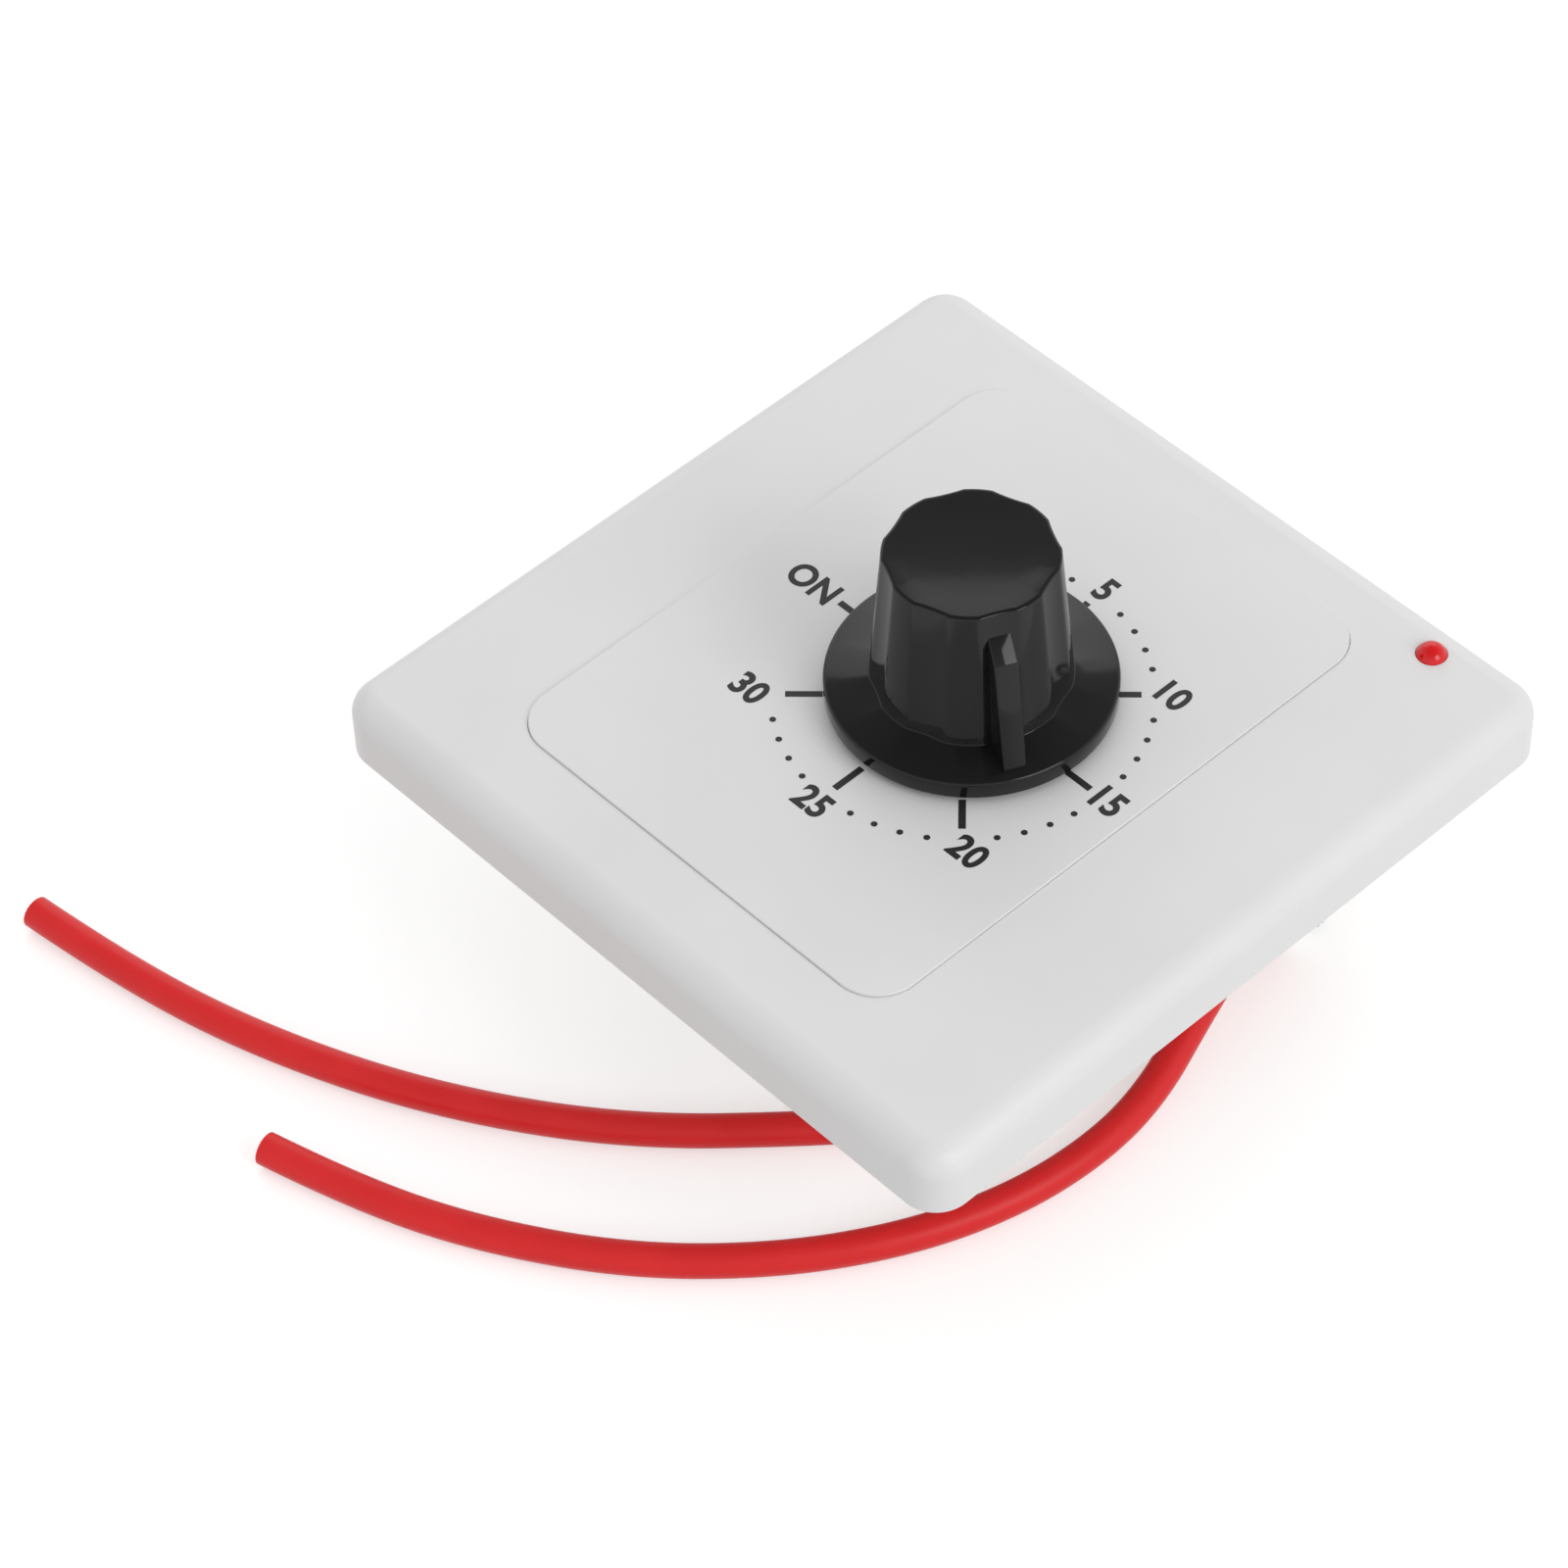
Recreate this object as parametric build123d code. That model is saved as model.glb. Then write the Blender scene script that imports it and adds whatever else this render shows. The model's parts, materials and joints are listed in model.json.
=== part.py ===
from build123d import *
import math
import os

# A mechanical run-back timer switch on a square wall plate, lying face up.
# Origin: centre of the plate, on the surface under the rear case. Millimetres.

os.makedirs("parts", exist_ok=True)

# Wall plate
plate_side = 86.0
plate_depth = 8.0
plate_corner_r = 4.0
plate_edge_r = 3.0
cover_wall = 2.2
case_depth = 30.0
wall_z = case_depth
face_z = wall_z + plate_depth
seat_gap = 0.3
overrun = 1.0

# Raised dial panel let into the cover
panel_from_left = 15.4
panel_from_right = 17.8
panel_from_bottom = 9.7
panel_from_top = 7.3
panel_x = (panel_from_left - panel_from_right) / 2
panel_y = (panel_from_bottom - panel_from_top) / 2
panel_width = plate_side - panel_from_left - panel_from_right
panel_height = plate_side - panel_from_bottom - panel_from_top
panel_corner_r = 5.0
panel_thick = 1.0
panel_proud = 0.3
cover_z = face_z - panel_proud
cover_inner_z = cover_z - cover_wall
pocket_clearance = 0.05

# Axis of the dial, the knob and the main arbor
axis_x = 2.5
axis_y = 1.9

# Knob
knob_lift = 0.9
skirt_r = 14.8
skirt_rim = 2.1
skirt_dish = 0.7
barrel_foot_r = 10.2
barrel_top_r = 8.85
barrel_top_edge = 0.3
barrel_top_dish = 0.3
knob_height = 20.2
knob_wall = 1.8
knob_boss_r = 5.8
knob_bore_end = 4.0
flute_count = 8
flute_r = 9.0
flute_depth = 0.42
pointer_angle = -26.5
pointer_width = 2.4
pointer_reach = 13.7
pointer_shoulder_r = 10.8
pointer_shoulder_drop = 5.0
pointer_top_r = 8.6
pointer_top_drop = 2.7
insert_r = 4.4
insert_end_gap = 1.0
grub_r = 2.0
grub_length = 5.0
grub_height = 8.6
grub_clearance = 0.1
flat_depth = 0.5
flat_length = 9.0

# Main arbor and its fits
arbor_r = 3.0
running_gap = 0.04
pivot_r = 1.5
pivot_length = 1.8
end_gap = 0.1
arbor_in_knob = 13.6
passage_gap = 1.8

# Movement frame between its two plates
case_wall = 2.0
case_corner_r = 5.0
case_left = -24.5
case_right = 15.5
case_bottom = -15.0
case_top = 35.5
frame_gap = 0.5
pivot_space = 2.0
plate_thick = 1.2
frame_boss = 2.8
pillar_r = 2.0
pillar_corner_inset = 3.0
pillar_beside_leaf = 5.1
screw_shank_r = 1.2
screw_clearance = 0.1
screw_head_r = 2.2
screw_head = 1.2
screw_bite = 4.0
back_z = case_wall + pivot_space
back_top_z = back_z + plate_thick
front_top_z = wall_z - frame_boss
front_z = front_top_z - plate_thick

# Clock train: four arbors, each wheel driving the next pinion
wheel_teeth = 40
pinion_teeth = 10
great_module = 0.5
train_module = 0.4
pressure_angle = 20.0
addendum_share = 0.9
dedendum_share = 1.25
wheel_tooth_share = 0.9
pinion_tooth_share = 0.85
flank_step_shares = (0.0, 0.5, 1.0)
train_arbor_r = 0.8
train_pivot_r = 0.5
train_pivot_length = 1.7
second_angle = 135.0
third_angle = 100.0
escape_angle = 20.0
pallet_angle = -60.0
wheel_thick = 1.0
pinion_overhang = 0.4
great_wheel_thick = 1.2
great_lift = 9.8
second_wheel_lift = 7.0
third_wheel_lift = 4.0
lightening_count = 4
lightening_r = 1.7
lightening_place_share = 0.56

# Escapement
escape_teeth = 15
escape_r = 5.0
escape_tooth = 1.1
escape_lift = 1.4
escape_thick = 0.8
pallet_distance = 7.5
pallet_swing = 5.0
pallet_spread = 45.0
pallet_pin_r = 0.3
pallet_tip_gap = 0.05
pallet_pin_drop = 1.3
pallet_hub_r = 1.6
pallet_arm_width = 1.5
pallet_thick = 0.8
pallet_gap = 0.4
balance_r = 4.6
balance_rim = 0.9
balance_bar = 1.3
balance_hub_r = 1.5
balance_lift = 5.4
balance_thick = 1.2

# Mainspring, hub, stop and friction clutch on the main arbor
collar_r = 5.5
collar_thick = 1.0
washer_r = 5.2
washer_thick = 0.8
washer_dish_share = 0.5
hub_r = 3.8
hub_flange_gap = 0.2
spring_gap = 0.05
spring_thick = 0.25
spring_pitch = 0.88
spring_half_turns = 13
spring_lift = 0.6
spring_post_r = 0.9
spring_post_angle = 225.0
stop_arm_thick = 0.8
stop_arm_half_width = 1.5
stop_arm_reach = 8.6
stop_arm_hub_r = 5.0
stop_post_r = 1.15
stop_post_place_r = 7.6
stop_to_plate_gap = 0.4
turn_to_on = 206.5
turn_to_full = 108.5
bush_r = 4.6
bush_flange_r = 5.6
bush_flange = 0.6
bush_length = 2.4
clip_r = 4.6
clip_thick = 0.6
clip_gap = 0.2

# Cam and contacts
cam_r = 7.5
cam_lift = 0.8
cam_thick = 3.0
notch_depth = 1.6
notch_width = 3.0
off_angle = 135.0
follower_gap = 0.05
follower_width = 2.0
follower_height = 0.45
leaf_thick = 0.3
leaf_end = 2.7
contact_r = 1.2
contact_height = 0.6
contact_from_end = 1.5
contact_block_left = 7.6
contact_block_bottom = 11.0
contact_block_length = 6.0
contact_block_height = 4.6
contact_block_gap = 0.1
block_screw_r = 0.8
block_screw_head_r = 1.5
block_screw_x = 1.1
block_screw_bite = 3.0
slot_gap = 0.2

# Terminal block on the side of the case, and its clamps
wire_d = 3.6
wire_bore_gap = 0.2
core_r = 0.9
core_length = 5.0
insulation_length = 1.4
terminal_face = 24.0
terminal_length = 12.0
terminal_right = 28.8
terminal_height = 11.0
terminal_chamfer_x = 2.4
terminal_chamfer_z = 4.0
terminal_cap_thick = 1.2
terminal_a_x = 20.0
terminal_b_x = 25.9
terminal_wire_z = 5.0
clamp_width = 3.6
clamp_low = 2.4
clamp_high = 4.0
clamp_back_a = 31.0
clamp_back_b = 32.0
clamp_gap = 0.1
clamp_bore_r = 1.15
clamp_screw_r = 1.3
clamp_screw_low = 0.6

# Ears and screws that hold the case to the base plate
ear_r = 3.5
ear_thick = 4.0
ear_low = -9.0
ear_high = 28.5
ear_hole_r = 1.45
case_screw_r = 1.4
case_screw_head_r = 2.7
case_screw_head = 1.6
case_screw_bite = 3.0

# Base plate behind the cover
base_thick = 3.0
base_corner_r = 2.0
base_hole_r = 5.5
slot_spacing = 60.3
slot_half_width = 2.1
slot_length = 7.4
movement_screw_r = 1.45
movement_screw_head_r = 2.7
movement_screw_head = 1.8
movement_screw_bite = 3.0
boss_r = 3.2
boss_a_left = 15.0
boss_b_left = 6.0
boss_b_up = 27.0
hole_clearance = 0.15
lug_width = 6.0
lug_reach = 1.2
lug_height = 1.0
lug_lift = 0.5
lug_place = 16.0
lug_gap = 0.3
cover_post_r = 2.0
cover_post_inset = 6.5
cover_post_gap = 0.8
cover_post_spread = ear_high - case_screw_head_r - cover_post_r - cover_post_gap

# Indicator lamp and its leads
lamp_from_side = 12.1
lamp_from_top = 4.5
lamp_x = plate_side / 2 - lamp_from_side
lamp_y = plate_side / 2 - lamp_from_top
lamp_r = 1.6
lamp_clearance = 0.05
lamp_dome = 1.15
lamp_flange_r = 1.9
lamp_flange = 1.0
lead_r = 0.25
lead_half_pitch = 1.27
lead_drop = 0.6
lead_run = 2.6
lead_bend_r = 0.45
resistor_r = 0.9
resistor_length = 4.0
lamp_wire_r = 0.5
lamp_wire_bend_r = 1.2
lamp_wire_end_a = 19.4
lamp_wire_end_b = 22.6
lamp_hole_margin = 1.2

# Free wires: chosen route points of each, from the terminal block to its cut end
surface_z = wire_d / 2
wire_a_points = [
    (terminal_a_x, terminal_face, terminal_wire_z),
    (20.0, 15.0, terminal_wire_z),
    (20.7, 5.0, 3.3),
    (20.9, -3.5, surface_z),
    (20.2, -11.5, surface_z),
    (17.2, -19.4, surface_z),
    (10.6, -27.9, surface_z),
    (-3.0, -42.3, surface_z),
    (-20.0, -53.5, surface_z),
    (-38.0, -61.0, surface_z),
    (-55.0, -65.1, surface_z),
    (-68.4, -66.6, surface_z),
]
wire_b_points = [
    (terminal_b_x, terminal_face, terminal_wire_z),
    (25.9, 16.5, terminal_wire_z),
    (28.2, 8.5, 3.6),
    (30.8, 0.0, surface_z),
    (32.1, -8.7, surface_z),
    (31.1, -19.2, surface_z),
    (27.2, -30.5, surface_z),
    (19.9, -42.1, surface_z),
    (9.3, -53.0, surface_z),
    (-3.9, -61.5, surface_z),
    (-16.5, -66.8, surface_z),
    (-27.2, -69.6, surface_z),
]
corner_share = 0.45


def save(name, shape):
    """Writes one piece, or one group of like pieces, to its STEP file."""
    export_step(shape, f"parts/{name}.step")


def block(x0, x1, y0, y1, z0, z1):
    """Box between two corners."""
    return Pos((x0 + x1) / 2, (y0 + y1) / 2, (z0 + z1) / 2) * Box(x1 - x0, y1 - y0, z1 - z0)


def disc(x, y, z0, z1, r):
    """Upright cylinder between two heights."""
    return Pos(x, y, (z0 + z1) / 2) * Cylinder(r, z1 - z0)


def ring(x, y, z0, z1, r_out, r_in):
    """Upright tube between two heights."""
    return disc(x, y, z0, z1, r_out) - disc(x, y, z0, z1, r_in)


def rounded_block(x, y, width, height, corner, z0, z1):
    """Upright slab with rounded corners."""
    outline = Pos(x, y, z0) * RectangleRounded(width, height, corner)
    return extrude(outline, amount=z1 - z0, dir=(0, 0, 1))


def polar(x, y, r, angle):
    """Point at a distance and direction from another."""
    return x + r * math.cos(math.radians(angle)), y + r * math.sin(math.radians(angle))


def pan_screw(x, y, seat_z, shank_r, head_r, head, bite, up=True):
    """Pan head screw whose head rests on seat_z and whose shank goes down, or up when up is False."""
    way = 1 if up else -1
    screw = disc(x, y, min(seat_z, seat_z + way * head), max(seat_z, seat_z + way * head), head_r)
    screw += disc(x, y, min(seat_z, seat_z - way * bite), max(seat_z, seat_z - way * bite), shank_r)
    slot = block(x - head_r, x + head_r, y - shank_r / 4, y + shank_r / 4, 0, head / 2)
    return screw - Pos(0, 0, seat_z + head / 2 if up else seat_z - head) * slot


# Toothed wheels with involute flanks
def gear_outline(teeth, module, tooth_share):
    """Face of a gear with a tooth centred on +X."""
    pitch_r = teeth * module / 2
    base_r = pitch_r * math.cos(math.radians(pressure_angle))
    tip_r = pitch_r + addendum_share * module
    root_r = pitch_r - dedendum_share * module

    def involute(angle):
        return math.tan(angle) - angle

    widest = math.pi / (2 * teeth) * tooth_share + involute(math.radians(pressure_angle))
    start_r = max(base_r, root_r)
    flank_rs = [root_r] + [start_r + (tip_r - start_r) * share for share in flank_step_shares]
    flank = [(r, widest - involute(math.acos(min(1, base_r / r)))) for r in flank_rs]
    points = []
    for tooth in range(teeth):
        centre = 2 * math.pi * tooth / teeth
        sides = [(r, centre - half) for r, half in flank] + [(r, centre + half) for r, half in reversed(flank)]
        for r, angle in sides:
            point = (r * math.cos(angle), r * math.sin(angle))
            if not points or math.dist(point, points[-1]) > module / 1000:
                points.append(point)
    return make_face(Polyline(*points, close=True))


def toothed(x, y, z0, z1, teeth, module, tooth_share, phase):
    """Gear standing between two heights, with one tooth pointing along phase."""
    outline = Pos(x, y, z0) * Rot(0, 0, phase) * gear_outline(teeth, module, tooth_share)
    return extrude(outline, amount=z1 - z0, dir=(0, 0, 1))


def wheel(x, y, z0, z1, module, phase, bore_r):
    """Driving wheel with a bore and a ring of lightening holes."""
    solid = toothed(x, y, z0, z1, wheel_teeth, module, wheel_tooth_share, phase) - disc(x, y, z0, z1, bore_r)
    for spoke in range(lightening_count):
        hole_x, hole_y = polar(
            x, y, lightening_place_share * wheel_teeth * module / 2, phase + 360 * spoke / lightening_count
        )
        solid -= disc(hole_x, hole_y, z0, z1, lightening_r)
    return solid


def pinion_arbor(x, y, z0, z1, module, phase):
    """Thin arbor with its two pivots and the pinion cut on it."""
    solid = disc(x, y, back_top_z + end_gap, front_z - end_gap, train_arbor_r)
    solid += disc(x, y, back_top_z + end_gap - train_pivot_length, back_top_z + train_arbor_r, train_pivot_r)
    solid += disc(x, y, front_z - train_arbor_r, front_z - end_gap + train_pivot_length, train_pivot_r)
    return solid + toothed(x, y, z0, z1, pinion_teeth, module, pinion_tooth_share, phase)


# Places of the arbors
great_pitch_r = wheel_teeth * great_module / 2
great_distance = (wheel_teeth + pinion_teeth) * great_module / 2
train_distance = (wheel_teeth + pinion_teeth) * train_module / 2
second_x, second_y = polar(axis_x, axis_y, great_distance, second_angle)
third_x, third_y = polar(second_x, second_y, train_distance, third_angle)
escape_x, escape_y = polar(third_x, third_y, train_distance, escape_angle)
pallet_x, pallet_y = polar(escape_x, escape_y, pallet_distance, pallet_angle)
half_tooth = 180 / pinion_teeth

# Heights of the wheels
great_z = back_top_z + great_lift
second_wheel_z = back_top_z + second_wheel_lift
third_wheel_z = back_top_z + third_wheel_lift
escape_z = back_top_z + escape_lift
balance_z = back_top_z + balance_lift
cam_z = back_top_z + cam_lift
cam_top_z = cam_z + cam_thick

# Inside of the case, and the outline of the movement plates in it
inner_left = case_left + case_wall
inner_right = case_right - case_wall
inner_bottom = case_bottom + case_wall
inner_top = case_top - case_wall
inner_corner_r = case_corner_r - case_wall
frame_left = inner_left + frame_gap
frame_right = inner_right - frame_gap
frame_bottom = inner_bottom + frame_gap
frame_top = inner_top - frame_gap

# Contact leaves: the inner one rides on the cam, the outer one is fixed
moving_leaf_x = axis_x + cam_r + follower_gap + follower_height
fixed_leaf_x = moving_leaf_x + leaf_thick + 2 * contact_height
leaf_low = axis_y - leaf_end
contact_y = leaf_low + contact_from_end
fixed_tail_y = terminal_face + insulation_length + clamp_width / 2
moving_tail_y = clamp_back_b

# Places of the four pillars
pillar_places = [
    (frame_left + pillar_corner_inset, frame_bottom + pillar_corner_inset),
    (frame_right - pillar_corner_inset, frame_bottom + pillar_corner_inset),
    (frame_left + pillar_corner_inset, frame_top - pillar_corner_inset),
    (frame_right - pillar_beside_leaf, frame_top - pillar_corner_inset),
]


# Cover, panel and base plate
def make_face_cover():
    body = rounded_block(0, 0, plate_side, plate_side, plate_corner_r, wall_z, cover_z)
    body = fillet(body.faces().sort_by(Axis.Z)[-1].edges(), plate_edge_r)
    inner_side = plate_side - 2 * cover_wall
    inner_corner = plate_corner_r - cover_wall
    body -= rounded_block(0, 0, inner_side, inner_side, inner_corner, wall_z, cover_inner_z)
    post_place = plate_side / 2 - cover_post_inset
    for post_x in (-post_place, post_place):
        for post_y in (-cover_post_spread, cover_post_spread):
            body += disc(post_x, post_y, wall_z + base_thick, cover_inner_z + cover_wall / 2, cover_post_r)
    for side in (-1, 1):
        for place in (-lug_place, lug_place):
            wall = inner_side / 2
            x0, x1 = sorted((side * (wall - lug_reach), side * (wall + cover_wall / 2)))
            low = wall_z + lug_lift
            body += block(x0, x1, place - lug_width / 2, place + lug_width / 2, low, low + lug_height)
    pocket_z = cover_z + panel_proud - panel_thick
    body -= rounded_block(
        panel_x,
        panel_y,
        panel_width + 2 * pocket_clearance,
        panel_height + 2 * pocket_clearance,
        panel_corner_r,
        pocket_z,
        cover_z + overrun,
    )
    body -= disc(axis_x, axis_y, wall_z, cover_z + overrun, arbor_r + passage_gap)
    return body - disc(lamp_x, lamp_y, wall_z, cover_z + overrun, lamp_r + lamp_clearance)


def make_dial_panel():
    body = rounded_block(
        panel_x, panel_y, panel_width, panel_height, panel_corner_r, face_z - panel_thick, face_z
    )
    return body - disc(axis_x, axis_y, face_z - panel_thick, face_z, arbor_r + passage_gap)


def movement_screw_places():
    return [(axis_x - boss_a_left, axis_y), (axis_x - boss_b_left, axis_y + boss_b_up)]


def case_screw_places():
    return [
        (side_x, ear_y)
        for side_x in (case_left - ear_r, case_right + ear_r)
        for ear_y in (ear_low, ear_high)
    ]


def lamp_passage(z0, z1):
    """Opening through which the two lamp wires go down to the contact leaves."""
    return block(
        moving_leaf_x + leaf_thick / 2 - lamp_hole_margin,
        frame_right + frame_gap,
        lamp_wire_end_a - lamp_hole_margin,
        lamp_wire_end_b + lamp_hole_margin,
        z0,
        z1,
    )


def make_base_plate():
    side = plate_side - 2 * cover_wall - 2 * seat_gap
    body = rounded_block(0, 0, side, side, base_corner_r, wall_z, wall_z + base_thick)
    for x, y in movement_screw_places():
        body += disc(x, y, front_top_z, wall_z + base_thick / 2, boss_r)
        body -= disc(x, y, front_top_z, wall_z + base_thick, movement_screw_r + hole_clearance)
    for x, y in case_screw_places():
        body -= disc(x, y, wall_z, wall_z + base_thick, case_screw_r + hole_clearance)
    for x in (-slot_spacing / 2, slot_spacing / 2):
        slot = Pos(x, 0, wall_z) * SlotOverall(slot_length, 2 * slot_half_width)
        body -= extrude(slot, amount=base_thick, dir=(0, 0, 1))
    for side_sign in (-1, 1):
        for place in (-lug_place, lug_place):
            edge = side / 2
            depth = lug_reach - seat_gap + lug_gap
            x0, x1 = sorted((side_sign * (edge - depth), side_sign * (edge + overrun)))
            half = lug_width / 2 + lug_gap
            top = wall_z + lug_lift + lug_height + lug_gap
            body -= block(x0, x1, place - half, place + half, wall_z, top)
    body -= disc(axis_x, axis_y, wall_z, wall_z + base_thick, base_hole_r)
    return body - lamp_passage(wall_z, wall_z + base_thick)


# Rear case and terminal block
def leaf_slots(x0, x1):
    """Passages for the two leaf tails through the walls between x0 and x1."""
    z0 = cam_z - slot_gap
    z1 = cam_top_z + slot_gap
    fixed = block(x0, x1, fixed_tail_y - slot_gap, fixed_tail_y + leaf_thick + slot_gap, z0, z1)
    moving = block(x0, x1, moving_tail_y - slot_gap, moving_tail_y + leaf_thick + slot_gap, z0, z1)
    return fixed + moving


def make_rear_case():
    middle_x = (case_left + case_right) / 2
    middle_y = (case_bottom + case_top) / 2
    width = case_right - case_left
    height = case_top - case_bottom
    body = rounded_block(middle_x, middle_y, width, height, case_corner_r, 0, wall_z)
    for x, y in case_screw_places():
        wall_x = case_left + case_wall / 2 if x < middle_x else case_right - case_wall / 2
        x0, x1 = sorted((x, wall_x))
        body += block(x0, x1, y - ear_r, y + ear_r, wall_z - ear_thick, wall_z)
        body += disc(x, y, wall_z - ear_thick, wall_z, ear_r)
        body -= disc(x, y, wall_z - ear_thick, wall_z, ear_hole_r)
    body -= rounded_block(
        middle_x,
        middle_y,
        width - 2 * case_wall,
        height - 2 * case_wall,
        inner_corner_r,
        case_wall,
        wall_z,
    )
    return body - leaf_slots(inner_right - inner_corner_r, case_right)


def clamp_boxes(gap):
    """The two clamp blocks, grown by a gap on every side but the top."""
    half = clamp_width / 2 + gap
    front = terminal_face + insulation_length - gap
    low = terminal_wire_z - clamp_low - gap
    high = terminal_wire_z + clamp_high
    clamp_a = block(terminal_a_x - half, terminal_a_x + half, front, clamp_back_a + gap, low, high)
    clamp_b = block(terminal_b_x - half, terminal_b_x + half, front, clamp_back_b + gap, low, high)
    return clamp_a, clamp_b


def make_terminal_block():
    back = terminal_face + terminal_length
    body = block(case_right, terminal_right, terminal_face, back, 0, terminal_height)
    corner = Polyline(
        (terminal_right - terminal_chamfer_x, 0),
        (terminal_right, terminal_chamfer_z),
        (terminal_right, 0),
        close=True,
    )
    side = make_face(Plane(origin=(0, back, 0), x_dir=(1, 0, 0), z_dir=(0, -1, 0)) * corner)
    body -= extrude(side, amount=terminal_length, dir=(0, -1, 0))
    for pocket in clamp_boxes(clamp_gap):
        box = pocket.bounding_box()
        body -= block(box.min.X, box.max.X, box.min.Y, box.max.Y, box.min.Z, terminal_height)
    for x in (terminal_a_x, terminal_b_x):
        bore = Pos(x, terminal_face + insulation_length / 2, terminal_wire_z)
        body -= bore * Rot(90, 0, 0) * Cylinder(wire_d / 2 + wire_bore_gap, insulation_length + clamp_gap)
        screw_y = clamp_screw_y(x)
        body -= disc(x, screw_y, 0, terminal_wire_z, clamp_screw_r + screw_clearance)
    z0 = cam_z - slot_gap
    body -= block(
        case_right,
        terminal_a_x,
        fixed_tail_y - slot_gap,
        fixed_tail_y + leaf_thick + slot_gap,
        z0,
        terminal_height,
    )
    body -= block(
        case_right,
        terminal_b_x + clamp_width / 2,
        moving_tail_y - clamp_gap,
        moving_tail_y + leaf_thick + slot_gap,
        z0,
        terminal_height,
    )
    return body


def make_terminal_cap():
    back = terminal_face + terminal_length
    top = terminal_height + terminal_cap_thick
    return block(case_right, terminal_right, terminal_face, back, terminal_height, top)


def clamp_screw_y(x):
    back = clamp_back_a if x == terminal_a_x else clamp_back_b
    return (terminal_face + insulation_length + back) / 2


def make_terminal_clamps():
    clamps = []
    for x, clamp in zip((terminal_a_x, terminal_b_x), clamp_boxes(0)):
        bore_length = core_length + clamp_gap
        place = Pos(x, terminal_face + insulation_length + bore_length / 2, terminal_wire_z)
        clamp -= place * Rot(90, 0, 0) * Cylinder(clamp_bore_r, bore_length)
        clamp -= disc(x, clamp_screw_y(x), 0, terminal_wire_z, clamp_screw_r + clamp_gap / 2)
        clamps.append(clamp)
    return Compound(children=clamps)


def make_terminal_screws():
    top = terminal_wire_z - core_r
    screws = []
    for x in (terminal_a_x, terminal_b_x):
        y = clamp_screw_y(x)
        screw = disc(x, y, clamp_screw_low, top, clamp_screw_r)
        slot_half = core_r / 4
        slot = block(x - clamp_screw_r, x + clamp_screw_r, y - slot_half, y + slot_half, 0, core_r)
        screws.append(screw - slot)
    return Compound(children=screws)


def make_wire_ends(radius, y0, y1):
    """Two straight rods along Y in the terminal bores."""
    rods = []
    for x in (terminal_a_x, terminal_b_x):
        rods.append(Pos(x, (y0 + y1) / 2, terminal_wire_z) * Rot(90, 0, 0) * Cylinder(radius, y1 - y0))
    return Compound(children=rods)


# Free wires
def make_wire(name, points):
    """Tube along straight runs joined by the largest arcs that they allow."""
    corners = [Vector(*point) for point in points]
    radii = []
    for before, here, after in zip(corners, corners[1:], corners[2:]):
        turn = (here - before).get_angle(after - here)
        run = min((here - before).length, (after - here).length)
        radii.append(corner_share * run / math.tan(math.radians(turn / 2)))
    path = FilletPolyline(*corners, radius=radii)
    tube = sweep(Plane(origin=path @ 0, z_dir=path % 0) * Circle(wire_d / 2), path=path)
    expected = math.pi * wire_d**2 / 4 * path.length
    print(name, "radii", [round(radius, 1) for radius in radii])
    print(name, "length", round(path.length, 1), "volume share", round(tube.volume / expected, 5))
    return tube


# Movement frame
def make_frame_plate(z0, z1, arbor_hole_r):
    middle_x = (frame_left + frame_right) / 2
    middle_y = (frame_bottom + frame_top) / 2
    width = frame_right - frame_left
    height = frame_top - frame_bottom
    body = rounded_block(middle_x, middle_y, width, height, inner_corner_r, z0, z1)
    body -= disc(axis_x, axis_y, z0, z1, arbor_hole_r)
    for x, y in ((second_x, second_y), (third_x, third_y), (escape_x, escape_y), (pallet_x, pallet_y)):
        body -= disc(x, y, z0, z1, train_pivot_r + running_gap)
    for x, y in pillar_places:
        body -= disc(x, y, z0, z1, screw_shank_r + screw_clearance)
    return body


def make_front_plate():
    body = make_frame_plate(front_z, front_top_z, bush_r)
    for x, y in movement_screw_places():
        body -= disc(x, y, front_z, front_top_z, movement_screw_r + screw_clearance / 2)
    return body - lamp_passage(front_z, front_top_z)


def make_back_plate():
    body = make_frame_plate(back_z, back_top_z, pivot_r + running_gap)
    screw_x, screw_y = block_screw_place()
    return body - disc(screw_x, screw_y, back_z, back_top_z, block_screw_r + screw_clearance)


def make_pillars():
    pillars = []
    for x, y in pillar_places:
        pillar = disc(x, y, back_top_z, front_z, pillar_r)
        pillar -= disc(x, y, back_top_z, back_top_z + screw_bite, screw_shank_r + screw_clearance / 2)
        pillar -= disc(x, y, front_z - screw_bite, front_z, screw_shank_r + screw_clearance / 2)
        pillars.append(pillar)
    return Compound(children=pillars)


def make_pillar_screws(seat_z, up):
    bite = plate_thick + screw_bite - screw_clearance
    screws = [
        pan_screw(x, y, seat_z, screw_shank_r, screw_head_r, screw_head, bite, up) for x, y in pillar_places
    ]
    return Compound(children=screws)


def make_front_bush():
    body = disc(axis_x, axis_y, front_z - bush_flange, front_z, bush_flange_r)
    body += disc(axis_x, axis_y, front_z - bush_flange, front_z - bush_flange + bush_length, bush_r)
    return body - disc(
        axis_x, axis_y, front_z - bush_flange, front_z - bush_flange + bush_length, arbor_r + running_gap
    )


# Main arbor and what turns with it
knob_z = face_z + knob_lift
knob_top_z = face_z + knob_height
arbor_top_z = knob_z + arbor_in_knob
hub_z = great_z + great_wheel_thick + washer_thick
stop_arm_top_z = front_z - bush_flange - hub_flange_gap
stop_arm_z = stop_arm_top_z - stop_arm_thick
spring_height = stop_arm_z - hub_z - 2 * spring_lift


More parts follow.
